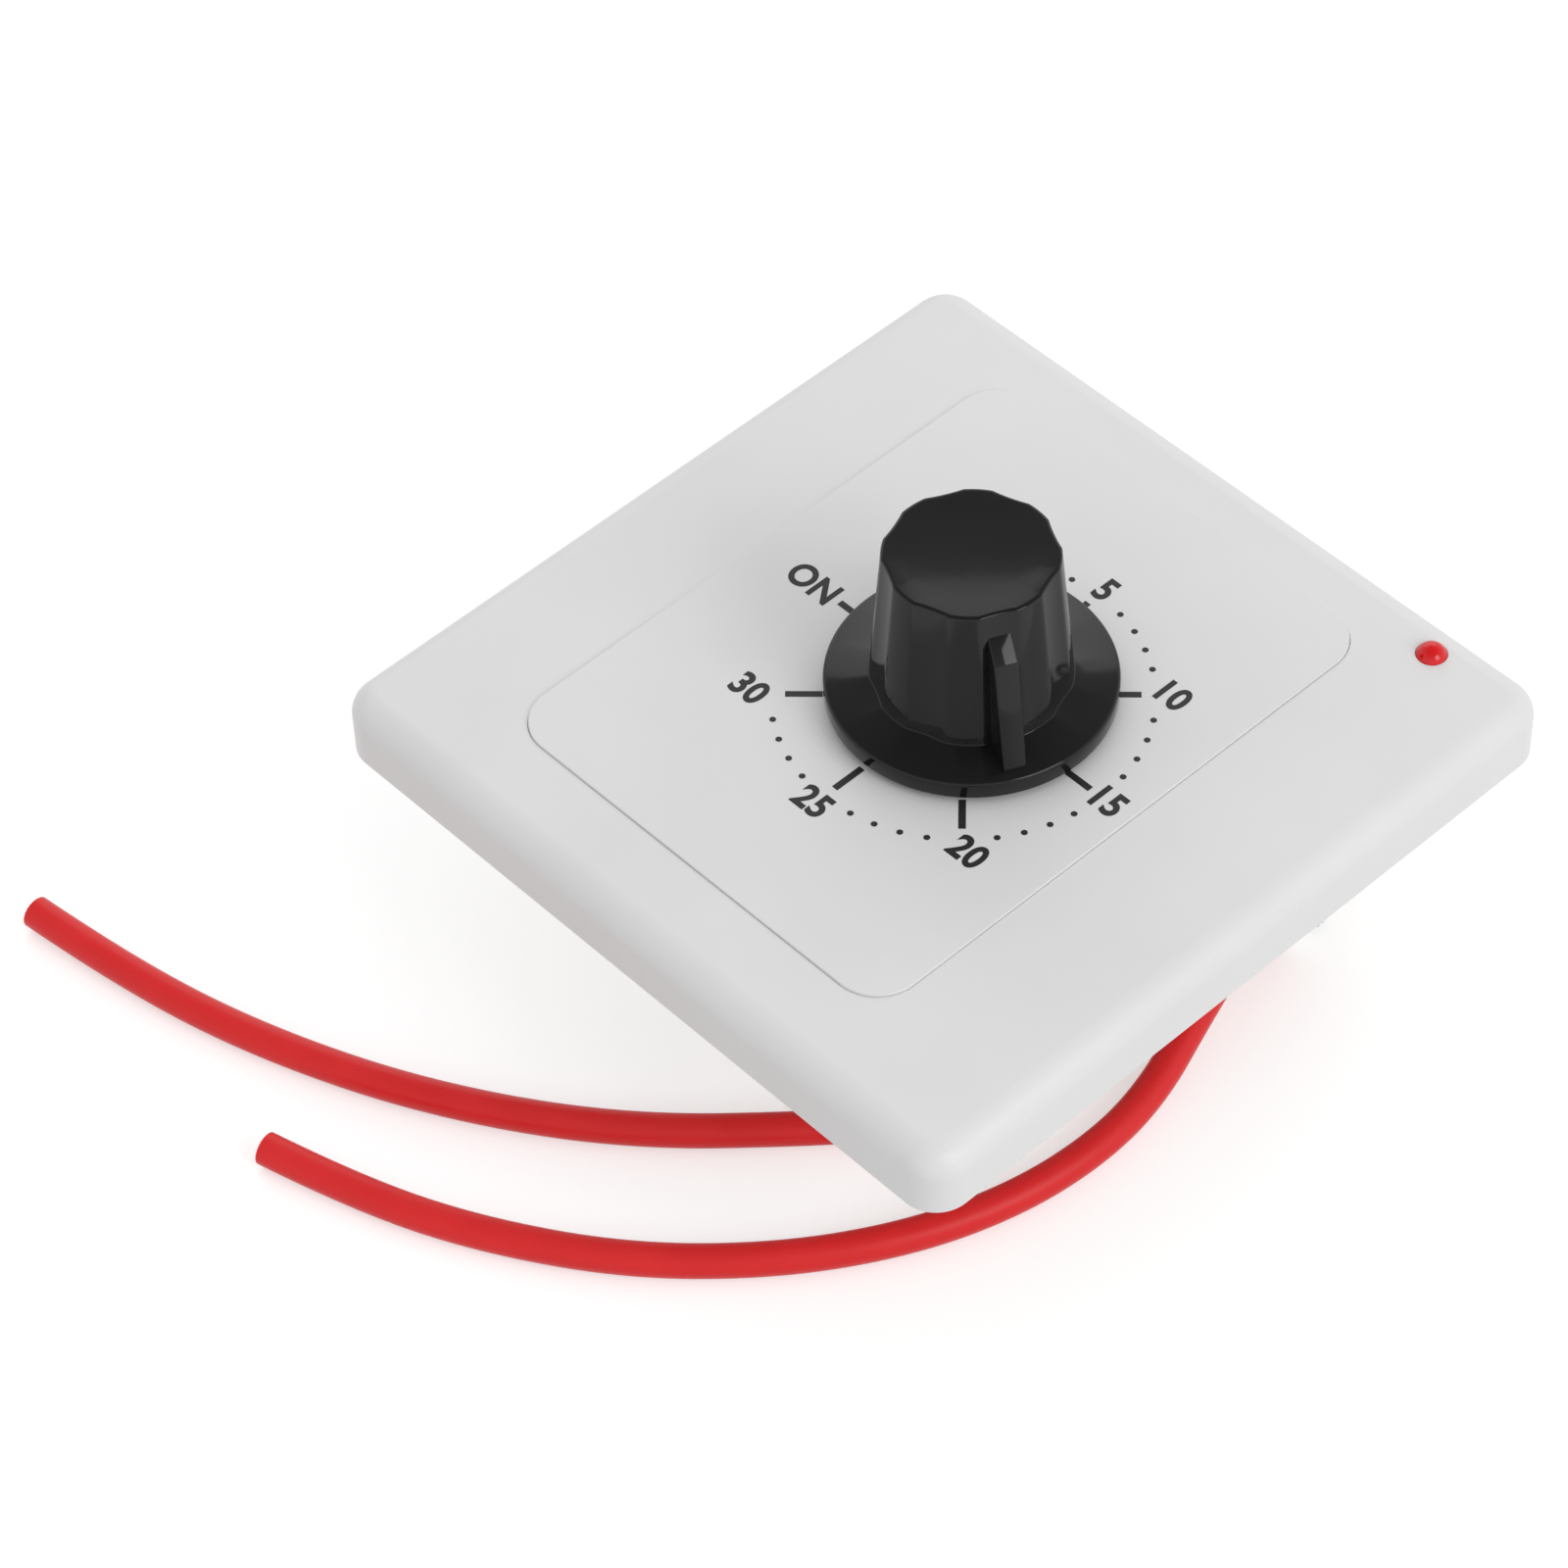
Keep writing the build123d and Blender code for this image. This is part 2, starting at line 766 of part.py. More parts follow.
def make_main_arbor():
    body = disc(axis_x, axis_y, back_top_z + end_gap, arbor_top_z, arbor_r)
    body += disc(axis_x, axis_y, back_top_z - pivot_length, back_top_z + arbor_r, pivot_r)
    flat = block(
        arbor_r - flat_depth,
        arbor_r + overrun,
        -arbor_r,
        arbor_r,
        arbor_top_z - flat_length,
        arbor_top_z + overrun,
    )
    return body - Pos(axis_x, axis_y, 0) * Rot(0, 0, pointer_angle + 180) * flat


def make_spring_hub():
    return ring(axis_x, axis_y, hub_z, stop_arm_z, hub_r, arbor_r)


def make_stop_arm():
    arm = block(0, stop_arm_reach, -stop_arm_half_width, stop_arm_half_width, stop_arm_z, stop_arm_top_z)
    arm += disc(0, 0, stop_arm_z, stop_arm_top_z, stop_arm_hub_r)
    arm -= disc(0, 0, stop_arm_z, stop_arm_top_z, arbor_r)
    return Pos(axis_x, axis_y, 0) * Rot(0, 0, pointer_angle) * arm


def make_stop_post():
    free_turn = 360 - turn_to_on - turn_to_full
    angle = pointer_angle + turn_to_on + free_turn / 2
    x, y = polar(axis_x, axis_y, stop_post_place_r, angle)
    return disc(x, y, stop_arm_z - stop_to_plate_gap, front_z, stop_post_r)


def spring_outer_r():
    return hub_r + spring_gap + spring_thick + spring_pitch * (spring_half_turns - 1) / 2


def make_spring_post():
    reach = spring_outer_r() + spring_post_r + spring_gap
    x, y = polar(axis_x, axis_y, reach, spring_post_angle)
    return disc(x, y, hub_z + spring_lift, front_z, spring_post_r)


def make_mainspring():
    """Flat spiral of half circles struck from two centres in turn."""
    edges = []
    for half_turn in range(spring_half_turns):
        centre = (0 if half_turn % 2 == 0 else spring_pitch / 2, 0)
        start = 0 if half_turn % 2 == 0 else 180
        radius = hub_r + spring_gap + spring_pitch * half_turn / 2
        edges.append(CenterArc(centre, radius, start, 180))
        edges.append(CenterArc(centre, radius + spring_thick, start, 180))
    edges.append(Line(edges[0] @ 0, edges[1] @ 0))
    edges.append(Line(edges[-3] @ 1, edges[-2] @ 1))
    strip = extrude(make_face(edges), amount=spring_height, dir=(0, 0, 1))
    return Pos(axis_x, axis_y, hub_z + spring_lift) * Rot(0, 0, spring_post_angle + 180) * strip


def make_clutch_collar():
    return ring(axis_x, axis_y, great_z - collar_thick, great_z, collar_r, arbor_r)


def make_clutch_washer():
    """Dished spring washer between the great wheel and the hub."""
    low = great_z + great_wheel_thick
    thick = washer_thick * washer_dish_share
    profile = Polyline(
        (arbor_r, washer_thick - thick),
        (arbor_r, washer_thick),
        (hub_r, washer_thick),
        (washer_r, thick),
        (washer_r, 0),
        (washer_r - thick, 0),
        close=True,
    )
    face = make_face(Plane.XZ * profile)
    return Pos(axis_x, axis_y, low) * revolve(face, Axis.Z)


def make_great_wheel():
    return wheel(axis_x, axis_y, great_z, great_z + great_wheel_thick, great_module, second_angle, arbor_r)


def make_arbor_clip():
    low = front_z - bush_flange + bush_length + clip_gap
    return ring(axis_x, axis_y, low, low + clip_thick, clip_r, arbor_r)


def make_cam():
    body = ring(axis_x, axis_y, cam_z, cam_top_z, cam_r, arbor_r)
    notch_angle = pointer_angle - off_angle
    notch = block(cam_r - notch_depth, cam_r + overrun, -notch_width / 2, notch_width / 2, cam_z, cam_top_z)
    return body - Pos(axis_x, axis_y, 0) * Rot(0, 0, notch_angle) * notch


# Knob
def make_knob():
    rim_z = knob_z + skirt_rim
    foot_z = rim_z + skirt_dish
    ceiling_z = knob_top_z - knob_wall
    slope = (barrel_foot_r - barrel_top_r) / (knob_top_z - foot_z)
    skirt = make_face(
        Plane.XZ
        * Polyline(
            (0, knob_z),
            (skirt_r, knob_z),
            (skirt_r, rim_z),
            (barrel_top_r, foot_z),
            (0, foot_z),
            close=True,
        )
    )
    barrel = make_face(
        Plane.XZ
        * Polyline(
            (0, rim_z),
            (barrel_foot_r + slope * skirt_dish, rim_z),
            (barrel_top_r, knob_top_z - barrel_top_edge),
            (barrel_top_r - barrel_top_edge, knob_top_z),
            (0, knob_top_z),
            close=True,
        )
    )
    body = revolve(barrel, Axis.Z)
    for flute in range(flute_count):
        angle = pointer_angle + 360 * flute / flute_count
        reach = barrel_foot_r + flute_r - flute_depth
        tilt = Rot(0, -math.degrees(math.atan(slope)), 0)
        body -= Rot(0, 0, angle) * Pos(reach, 0, foot_z) * tilt * Cylinder(flute_r, 3 * knob_height)
    edge_r = barrel_top_r - barrel_top_edge
    dish_r = (edge_r**2 + barrel_top_dish**2) / (2 * barrel_top_dish)
    body -= Pos(0, 0, knob_top_z - barrel_top_dish + dish_r) * Sphere(dish_r)
    body += revolve(skirt, Axis.Z)
    fin = make_face(
        Plane.XZ
        * Polyline(
            (knob_boss_r, rim_z - skirt_rim / 2),
            (pointer_reach, rim_z - skirt_rim / 2),
            (pointer_reach, rim_z + skirt_dish / 4),
            (pointer_shoulder_r, knob_top_z - pointer_shoulder_drop),
            (pointer_top_r, knob_top_z - pointer_top_drop),
            (knob_boss_r, knob_top_z - pointer_top_drop),
            close=True,
        )
    )
    fin = extrude(fin, amount=pointer_width / 2, both=True)
    body += Rot(0, 0, pointer_angle) * fin
    hollow = make_face(
        Plane.XZ
        * Polyline(
            (knob_boss_r, knob_z),
            (skirt_r - knob_wall, knob_z),
            (skirt_r - knob_wall, rim_z + skirt_dish / 4 - knob_wall),
            (barrel_foot_r - knob_wall, foot_z - knob_wall),
            (barrel_top_r - knob_wall, ceiling_z),
            (knob_boss_r, ceiling_z),
            close=True,
        )
    )
    body -= revolve(hollow, Axis.Z)
    body -= disc(0, 0, knob_z, knob_top_z - knob_bore_end, insert_r)
    grub = Pos((insert_r + skirt_r) / 2, 0, knob_z + grub_height) * Rot(0, 90, 0)
    grub_hole = Cylinder(grub_r + grub_clearance, skirt_r - insert_r + 2 * overrun)
    body -= Rot(0, 0, pointer_angle + 180) * grub * grub_hole
    return Pos(axis_x, axis_y, 0) * body


def make_knob_insert():
    top = knob_top_z - knob_bore_end
    body = disc(0, 0, knob_z + insert_end_gap, top, insert_r)
    body -= disc(0, 0, knob_z + insert_end_gap, top - insert_end_gap, arbor_r + running_gap)
    hole = Pos((arbor_r + insert_r) / 2, 0, knob_z + grub_height) * Rot(0, 90, 0)
    body -= Rot(0, 0, pointer_angle + 180) * hole * Cylinder(grub_r + grub_clearance / 2, insert_r)
    return Pos(axis_x, axis_y, 0) * body


def make_grub_screw():
    start = arbor_r - flat_depth
    place = Pos(start + grub_length / 2, 0, knob_z + grub_height) * Rot(0, 90, 0)
    body = place * Cylinder(grub_r, grub_length)
    slot_half = grub_r / 6
    end = start + grub_length
    low = knob_z + grub_height
    body -= block(end - grub_r / 2, end, -grub_r, grub_r, low - slot_half, low + slot_half)
    return Pos(axis_x, axis_y, 0) * Rot(0, 0, pointer_angle + 180) * body


# Escapement
def make_escape_wheel():
    points = []
    for tooth in range(escape_teeth):
        start = 360 * tooth / escape_teeth
        points.append(polar(0, 0, escape_r, start))
        points.append(polar(0, 0, escape_r - escape_tooth, start + 180 / escape_teeth / 4))
        points.append(polar(0, 0, escape_r - escape_tooth, start + 360 / escape_teeth - 180 / escape_teeth))
    face = Pos(escape_x, escape_y, escape_z) * make_face(Polyline(*points, close=True))
    body = extrude(face, amount=escape_thick, dir=(0, 0, 1))
    return body - disc(escape_x, escape_y, escape_z, escape_z + escape_thick, train_arbor_r)


def pallet_pin_places():
    """Pin centres, clear of the wheel's tips even at the end of the swing."""
    reach = math.hypot(
        pallet_distance - escape_r * math.cos(math.radians(pallet_spread)),
        escape_r * math.sin(math.radians(pallet_spread)),
    )
    swing_in = reach * math.radians(pallet_swing)
    centre_r = escape_r + pallet_pin_r + pallet_tip_gap + swing_in
    return [
        polar(escape_x, escape_y, centre_r, pallet_angle + side * pallet_spread) for side in (-1, 1)
    ]


def make_pallet_lever():
    low = escape_z + escape_thick + pallet_gap
    body = disc(pallet_x, pallet_y, low, low + pallet_thick, pallet_hub_r)
    for pin_x, pin_y in pallet_pin_places():
        length = math.dist((pin_x, pin_y), (pallet_x, pallet_y))
        angle = math.degrees(math.atan2(pin_y - pallet_y, pin_x - pallet_x))
        arm = block(0, length, -pallet_arm_width / 2, pallet_arm_width / 2, low, low + pallet_thick)
        arm += disc(length, 0, low, low + pallet_thick, pallet_arm_width / 2)
        body += Pos(pallet_x, pallet_y, 0) * Rot(0, 0, angle) * arm
    for pin_x, pin_y in pallet_pin_places():
        body -= disc(pin_x, pin_y, low, low + pallet_thick, pallet_pin_r)
    return body - disc(pallet_x, pallet_y, low, low + pallet_thick, train_arbor_r)


def make_pallet_pins():
    low = escape_z + escape_thick + pallet_gap
    pins = [disc(x, y, low - pallet_pin_drop, low + pallet_thick, pallet_pin_r) for x, y in pallet_pin_places()]
    return Compound(children=pins)


def make_balance_wheel():
    top = balance_z + balance_thick
    body = ring(pallet_x, pallet_y, balance_z, top, balance_r, balance_r - balance_rim)
    reach = balance_r - balance_rim / 2
    body += block(
        pallet_x - reach,
        pallet_x + reach,
        pallet_y - balance_bar / 2,
        pallet_y + balance_bar / 2,
        balance_z,
        top,
    )
    body += disc(pallet_x, pallet_y, balance_z, top, balance_hub_r)
    return body - disc(pallet_x, pallet_y, balance_z, top, train_arbor_r)


def make_balance_arbor():
    solid = disc(pallet_x, pallet_y, back_top_z + end_gap, front_z - end_gap, train_arbor_r)
    low = back_top_z + end_gap - train_pivot_length
    solid += disc(pallet_x, pallet_y, low, back_top_z + train_arbor_r, train_pivot_r)
    high = front_z - end_gap + train_pivot_length
    return solid + disc(pallet_x, pallet_y, front_z - train_arbor_r, high, train_pivot_r)


# Contacts
def block_screw_place():
    return contact_block_left + block_screw_x, contact_block_bottom + contact_block_length / 2


def make_moving_leaf():
    leaf = block(
        moving_leaf_x, moving_leaf_x + leaf_thick, leaf_low, moving_tail_y + leaf_thick, cam_z, cam_top_z
    )
    leaf += block(
        moving_leaf_x - follower_height,
        moving_leaf_x,
        axis_y - follower_width / 2,
        axis_y + follower_width / 2,
        cam_z,
        cam_top_z,
    )
    return leaf + block(
        moving_leaf_x,
        terminal_b_x + clamp_width / 2,
        moving_tail_y,
        moving_tail_y + leaf_thick,
        cam_z,
        cam_top_z,
    )


def make_fixed_leaf():
    leaf = block(fixed_leaf_x, fixed_leaf_x + leaf_thick, leaf_low, fixed_tail_y + leaf_thick, cam_z, cam_top_z)
    return leaf + block(
        fixed_leaf_x,
        terminal_a_x - clamp_width / 2,
        fixed_tail_y,
        fixed_tail_y + leaf_thick,
        cam_z,
        cam_top_z,
    )


def make_contact(x0, x1):
    middle_z = (cam_z + cam_top_z) / 2
    return Pos((x0 + x1) / 2, contact_y, middle_z) * Rot(0, 90, 0) * Cylinder(contact_r, x1 - x0)


def make_contact_block():
    top = back_top_z + contact_block_height
    end = contact_block_bottom + contact_block_length
    body = block(
        contact_block_left, inner_right - contact_block_gap, contact_block_bottom, end, back_top_z, top
    )
    for x in (moving_leaf_x, fixed_leaf_x):
        body -= block(x, x + leaf_thick, contact_block_bottom, end, cam_z, top)
    screw_x, screw_y = block_screw_place()
    return body - disc(
        screw_x, screw_y, back_top_z, back_top_z + block_screw_bite, block_screw_r + screw_clearance / 2
    )


def make_block_screw():
    x, y = block_screw_place()
    bite = plate_thick + block_screw_bite - screw_clearance
    return pan_screw(x, y, back_z, block_screw_r, block_screw_head_r, screw_head, bite, up=False)


# Indicator lamp
lamp_flange_z = cover_inner_z - lamp_flange
lead_z = lamp_flange_z - lead_drop


def make_lamp():
    body = disc(lamp_x, lamp_y, lamp_flange_z, cover_inner_z, lamp_flange_r)
    body += disc(lamp_x, lamp_y, cover_inner_z, cover_z, lamp_r)
    dome_r = (lamp_r**2 + lamp_dome**2) / (2 * lamp_dome)
    cap = Pos(lamp_x, lamp_y, cover_z + lamp_dome - dome_r) * Sphere(dome_r)
    return body + (cap & disc(lamp_x, lamp_y, cover_z, cover_z + lamp_dome, lamp_r))


def bent_rod(points, bend_r, rod_r):
    """Round rod along a polyline with rounded bends."""
    path = FilletPolyline(*[Vector(*point) for point in points], radius=bend_r)
    return sweep(Plane(origin=path @ 0, z_dir=path % 0) * Circle(rod_r), path=path)


def lead_xs():
    return lamp_x - lead_half_pitch, lamp_x + lead_half_pitch


def make_lamp_leads():
    leads = []
    for x in lead_xs():
        points = [(x, lamp_y, lamp_flange_z), (x, lamp_y, lead_z), (x, lamp_y - lead_run, lead_z)]
        leads.append(bent_rod(points, lead_bend_r, lead_r))
    return Compound(children=leads)


def make_resistor():
    x = lead_xs()[0]
    middle_y = lamp_y - lead_run - resistor_length / 2
    return Pos(x, middle_y, lead_z) * Rot(90, 0, 0) * Cylinder(resistor_r, resistor_length)


def make_lamp_wires():
    """The resistor's wire to the moving leaf and, outside it, the other lead's wire to the fixed leaf."""
    left_x, right_x = lead_xs()
    moving_end_x = moving_leaf_x + leaf_thick / 2
    fixed_end_x = fixed_leaf_x + leaf_thick / 2
    routes = [
        [
            (left_x, lamp_y - lead_run - resistor_length, lead_z),
            (left_x, lamp_wire_end_b, lead_z),
            (moving_end_x, lamp_wire_end_b, lead_z),
            (moving_end_x, lamp_wire_end_b, cam_top_z),
        ],
        [
            (right_x, lamp_y - lead_run, lead_z),
            (right_x, lamp_wire_end_a, lead_z),
            (fixed_end_x, lamp_wire_end_a, lead_z),
            (fixed_end_x, lamp_wire_end_a, cam_top_z),
        ],
    ]
    return Compound(children=[bent_rod(route, lamp_wire_bend_r, lamp_wire_r) for route in routes])


# Every piece under its own name
save("face_cover", make_face_cover())
save("dial_panel", make_dial_panel())
save("base_plate", make_base_plate())
save("rear_case", make_rear_case())
save("terminal_block", make_terminal_block())
save("terminal_cap", make_terminal_cap())
save("terminal_clamps", make_terminal_clamps())
save("terminal_screws", make_terminal_screws())
core_start = terminal_face + insulation_length
save("wire_cores", make_wire_ends(core_r, core_start, core_start + core_length))
save("wire_insulation_ends", make_wire_ends(wire_d / 2, terminal_face, core_start))
save("red_wire_a", make_wire("red_wire_a", wire_a_points))
save("red_wire_b", make_wire("red_wire_b", wire_b_points))

save("movement_front_plate", make_front_plate())
save("movement_back_plate", make_back_plate())
save("movement_pillars", make_pillars())
save("pillar_screws_front", make_pillar_screws(front_top_z, up=True))
save("pillar_screws_rear", make_pillar_screws(back_z, up=False))
save("front_bush", make_front_bush())
save("stop_post", make_stop_post())
save("spring_post", make_spring_post())
base_top_z = wall_z + base_thick
movement_screws = [
    pan_screw(
        x,
        y,
        base_top_z,
        movement_screw_r,
        movement_screw_head_r,
        movement_screw_head,
        base_top_z - front_z + movement_screw_bite / 2,
    )
    for x, y in movement_screw_places()
]
save("movement_screws", Compound(children=movement_screws))
case_screws = [
    pan_screw(
        x, y, base_top_z, case_screw_r, case_screw_head_r, case_screw_head, base_thick + case_screw_bite
    )
    for x, y in case_screw_places()
]
save("case_screws", Compound(children=case_screws))

save("main_arbor", make_main_arbor())
save("spring_hub", make_spring_hub())
save("stop_arm", make_stop_arm())
save("mainspring", make_mainspring())
save("clutch_collar", make_clutch_collar())
save("clutch_washer", make_clutch_washer())
save("great_wheel", make_great_wheel())
save("arbor_clip", make_arbor_clip())
save("cam_disc", make_cam())
save("knob", make_knob())
save("knob_insert", make_knob_insert())
save("knob_grub_screw", make_grub_screw())

great_pinion_z = great_z - pinion_overhang
great_pinion_top_z = great_z + great_wheel_thick + pinion_overhang
save(
    "second_arbor",
    pinion_arbor(
        second_x,
        second_y,
        great_pinion_z,
        great_pinion_top_z,
        great_module,
        second_angle + 180 + half_tooth,
    ),
)
second_wheel_top_z = second_wheel_z + wheel_thick
save(
    "second_wheel",
    wheel(second_x, second_y, second_wheel_z, second_wheel_top_z, train_module, third_angle, train_arbor_r),
)
save(
    "third_arbor",
    pinion_arbor(
        third_x,
        third_y,
        second_wheel_z - pinion_overhang,
        second_wheel_top_z + pinion_overhang,
        train_module,
        third_angle + 180 + half_tooth,
    ),
)
third_wheel_top_z = third_wheel_z + wheel_thick
save(
    "third_wheel",
    wheel(third_x, third_y, third_wheel_z, third_wheel_top_z, train_module, escape_angle, train_arbor_r),
)
save(
    "escape_arbor",
    pinion_arbor(
        escape_x,
        escape_y,
        third_wheel_z - pinion_overhang,
        third_wheel_top_z + pinion_overhang,
        train_module,
        escape_angle + 180 + half_tooth,
    ),
)
save("escape_wheel", make_escape_wheel())
save("balance_arbor", make_balance_arbor())
save("pallet_lever", make_pallet_lever())
save("pallet_pins", make_pallet_pins())
save("balance_wheel", make_balance_wheel())

save("contact_block", make_contact_block())
save("contact_block_screw", make_block_screw())
save("moving_contact_leaf", make_moving_leaf())
save("fixed_contact_leaf", make_fixed_leaf())
contact_face_x = moving_leaf_x + leaf_thick + contact_height
save("moving_contact", make_contact(moving_leaf_x + leaf_thick, contact_face_x))
save("fixed_contact", make_contact(contact_face_x, fixed_leaf_x))

save("indicator_lamp", make_lamp())
save("lamp_leads", make_lamp_leads())
save("lamp_resistor", make_resistor())
save("lamp_wires", make_lamp_wires())
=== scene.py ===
import json
import math

import bmesh
import bpy
from mathutils import Matrix, Vector


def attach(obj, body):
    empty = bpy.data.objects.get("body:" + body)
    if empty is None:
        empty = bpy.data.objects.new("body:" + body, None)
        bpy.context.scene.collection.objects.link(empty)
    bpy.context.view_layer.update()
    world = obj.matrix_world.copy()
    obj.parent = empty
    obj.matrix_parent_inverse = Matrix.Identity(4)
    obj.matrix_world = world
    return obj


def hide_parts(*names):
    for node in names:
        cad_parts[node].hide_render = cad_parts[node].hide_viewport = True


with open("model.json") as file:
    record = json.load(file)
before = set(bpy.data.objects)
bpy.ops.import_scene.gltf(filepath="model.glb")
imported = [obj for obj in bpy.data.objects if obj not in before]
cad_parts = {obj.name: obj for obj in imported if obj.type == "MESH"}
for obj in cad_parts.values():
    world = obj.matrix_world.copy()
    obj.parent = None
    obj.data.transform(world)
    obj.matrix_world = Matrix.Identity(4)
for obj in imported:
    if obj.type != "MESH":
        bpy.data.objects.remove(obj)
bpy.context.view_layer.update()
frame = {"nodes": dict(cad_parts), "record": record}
nodes = frame["nodes"]
bpy.ops.object.select_all(action="DESELECT")

# Lengths are in millimetres and angles in degrees, but for the studio's, which are in metres
MM = 0.001

# Places shared with the part
PANEL_TOP = 38.0
KNOB_X, KNOB_Y = 2.5, 1.9
POINTER_ANGLE = -26.5


def metres(x, y, z):
    return Vector((x, y, z)) * MM


def around(centre_x, centre_y, radius, angle, z):
    """A place in metres, at a radius and an angle from an upright axis."""
    turn = math.radians(angle)
    return metres(centre_x + radius * math.cos(turn), centre_y + radius * math.sin(turn), z)


# Camera, fitted to the photo
CAMERA_PLACE = (274, -266, 456)
CAMERA_RIGHT = (0.6876, 0.7256, -0.0263)
CAMERA_UP = (-0.5318, 0.528, 0.6622)
SENSOR_WIDTH = 36
LENS = 130.3


def add_camera():
    right = Vector(CAMERA_RIGHT).normalized()
    up = Vector(CAMERA_UP).normalized()
    back = right.cross(up)
    turn = Matrix((right, up, back)).transposed().to_euler()
    bpy.ops.object.camera_add(location=metres(*CAMERA_PLACE), rotation=turn)
    camera = bpy.context.object
    camera.name = "view_camera"
    camera.data.sensor_width = SENSOR_WIDTH
    camera.data.lens = LENS
    bpy.context.scene.camera = camera


add_camera()


# Finishes
# Most values of a noise lie between these two
NOISE_LOW, NOISE_HIGH = 0.3, 0.7


def shader_of(finish):
    return next(node for node in finish.node_tree.nodes if node.type == "BSDF_PRINCIPLED")


def new_finish(name):
    finish = bpy.data.materials.new(name)
    finish.use_nodes = True
    tree = finish.node_tree
    place = tree.nodes.new("ShaderNodeTexCoord")
    return finish, tree, shader_of(finish), place


def add_noise(tree, place, scale, detail=2, stretch=None):
    noise = tree.nodes.new("ShaderNodeTexNoise")
    noise.inputs["Scale"].default_value = scale
    noise.inputs["Detail"].default_value = detail
    if stretch is None:
        tree.links.new(place.outputs["Object"], noise.inputs["Vector"])
    else:
        mapping = tree.nodes.new("ShaderNodeMapping")
        mapping.inputs["Scale"].default_value = stretch
        tree.links.new(place.outputs["Object"], mapping.inputs["Vector"])
        tree.links.new(mapping.outputs["Vector"], noise.inputs["Vector"])
    return noise


def vary_roughness(tree, shader, noise, low, high):
    spread = tree.nodes.new("ShaderNodeMapRange")
    spread.inputs["From Min"].default_value = NOISE_LOW
    spread.inputs["From Max"].default_value = NOISE_HIGH
    spread.inputs["To Min"].default_value = low
    spread.inputs["To Max"].default_value = high
    tree.links.new(noise.outputs["Fac"], spread.inputs["Value"])
    tree.links.new(spread.outputs["Result"], shader.inputs["Roughness"])


def vary_colour(tree, shader, noise, dark, light):
    ramp = tree.nodes.new("ShaderNodeValToRGB")
    first, last = ramp.color_ramp.elements
    first.position = NOISE_LOW
    first.color = (*dark, 1)
    last.position = NOISE_HIGH
    last.color = (*light, 1)
    tree.links.new(noise.outputs["Fac"], ramp.inputs["Fac"])
    tree.links.new(ramp.outputs["Color"], shader.inputs["Base Color"])


def add_bump(tree, shader, noise, depth_mm, strength=1.0):
    bump = tree.nodes.new("ShaderNodeBump")
    bump.inputs["Strength"].default_value = strength
    bump.inputs["Distance"].default_value = depth_mm * MM
    tree.links.new(noise.outputs["Fac"], bump.inputs["Height"])
    tree.links.new(bump.outputs["Normal"], shader.inputs["Normal"])


def moulded_plastic(name, dark, light, rough, grain_scale, grain_mm, specular=0.5):
    """Injection moulded plastic: a fine even grain, and a slow change of gloss over the piece."""
    finish, tree, shader, place = new_finish(name)
    slow = add_noise(tree, place, 60, 3)
    vary_colour(tree, shader, slow, dark, light)
    vary_roughness(tree, shader, slow, *rough)
    grain = add_noise(tree, place, grain_scale)
    add_bump(tree, shader, grain, grain_mm)
    shader.inputs["Specular IOR Level"].default_value = specular
    return finish


def worked_metal(name, dark, light, rough, stretch, grain_mm):
    """Rolled, turned or drawn metal: fine lines along one way, with a slight change of tone."""
    finish, tree, shader, place = new_finish(name)
    shader.inputs["Metallic"].default_value = 1.0
    tone = add_noise(tree, place, 120, 3)
    vary_colour(tree, shader, tone, dark, light)
    lines = add_noise(tree, place, 900, 3, stretch)
    vary_roughness(tree, shader, lines, *rough)
    add_bump(tree, shader, lines, grain_mm, 0.6)
    return finish


def lamp_lens():
    finish, tree, shader, place = new_finish("red_lamp_lens")
    swirl = add_noise(tree, place, 500)
    vary_colour(tree, shader, swirl, (0.74, 0.006, 0.01), (0.82, 0.01, 0.014))
    vary_roughness(tree, shader, swirl, 0.06, 0.12)
    shader.inputs["IOR"].default_value = 1.49
    shader.inputs["Transmission Weight"].default_value = 0.08
    shader.inputs["Specular IOR Level"].default_value = 0.45
    return finish


def wire_sheath():
    finish, tree, shader, place = new_finish("red_wire_sheath")
    slow = add_noise(tree, place, 90, 3)
    vary_colour(tree, shader, slow, (0.75, 0.016, 0.018), (0.81, 0.022, 0.024))
    vary_roughness(tree, shader, slow, 0.34, 0.44)
    drawn = add_noise(tree, place, 1500)
    add_bump(tree, shader, drawn, 0.008)
    shader.inputs["Specular IOR Level"].default_value = 0.3
    shader.inputs["Subsurface Weight"].default_value = 0.08
    shader.inputs["Subsurface Scale"].default_value = 0.6 * MM
    shader.inputs["Subsurface Radius"].default_value = (1.0, 0.3, 0.25)
    return finish


def dial_ink():
    finish, tree, shader, place = new_finish("dial_ink")
    speck = add_noise(tree, place, 2500)
    vary_colour(tree, shader, speck, (0.019, 0.019, 0.02), (0.026, 0.026, 0.027))
    vary_roughness(tree, shader, speck, 0.45, 0.6)
    return finish


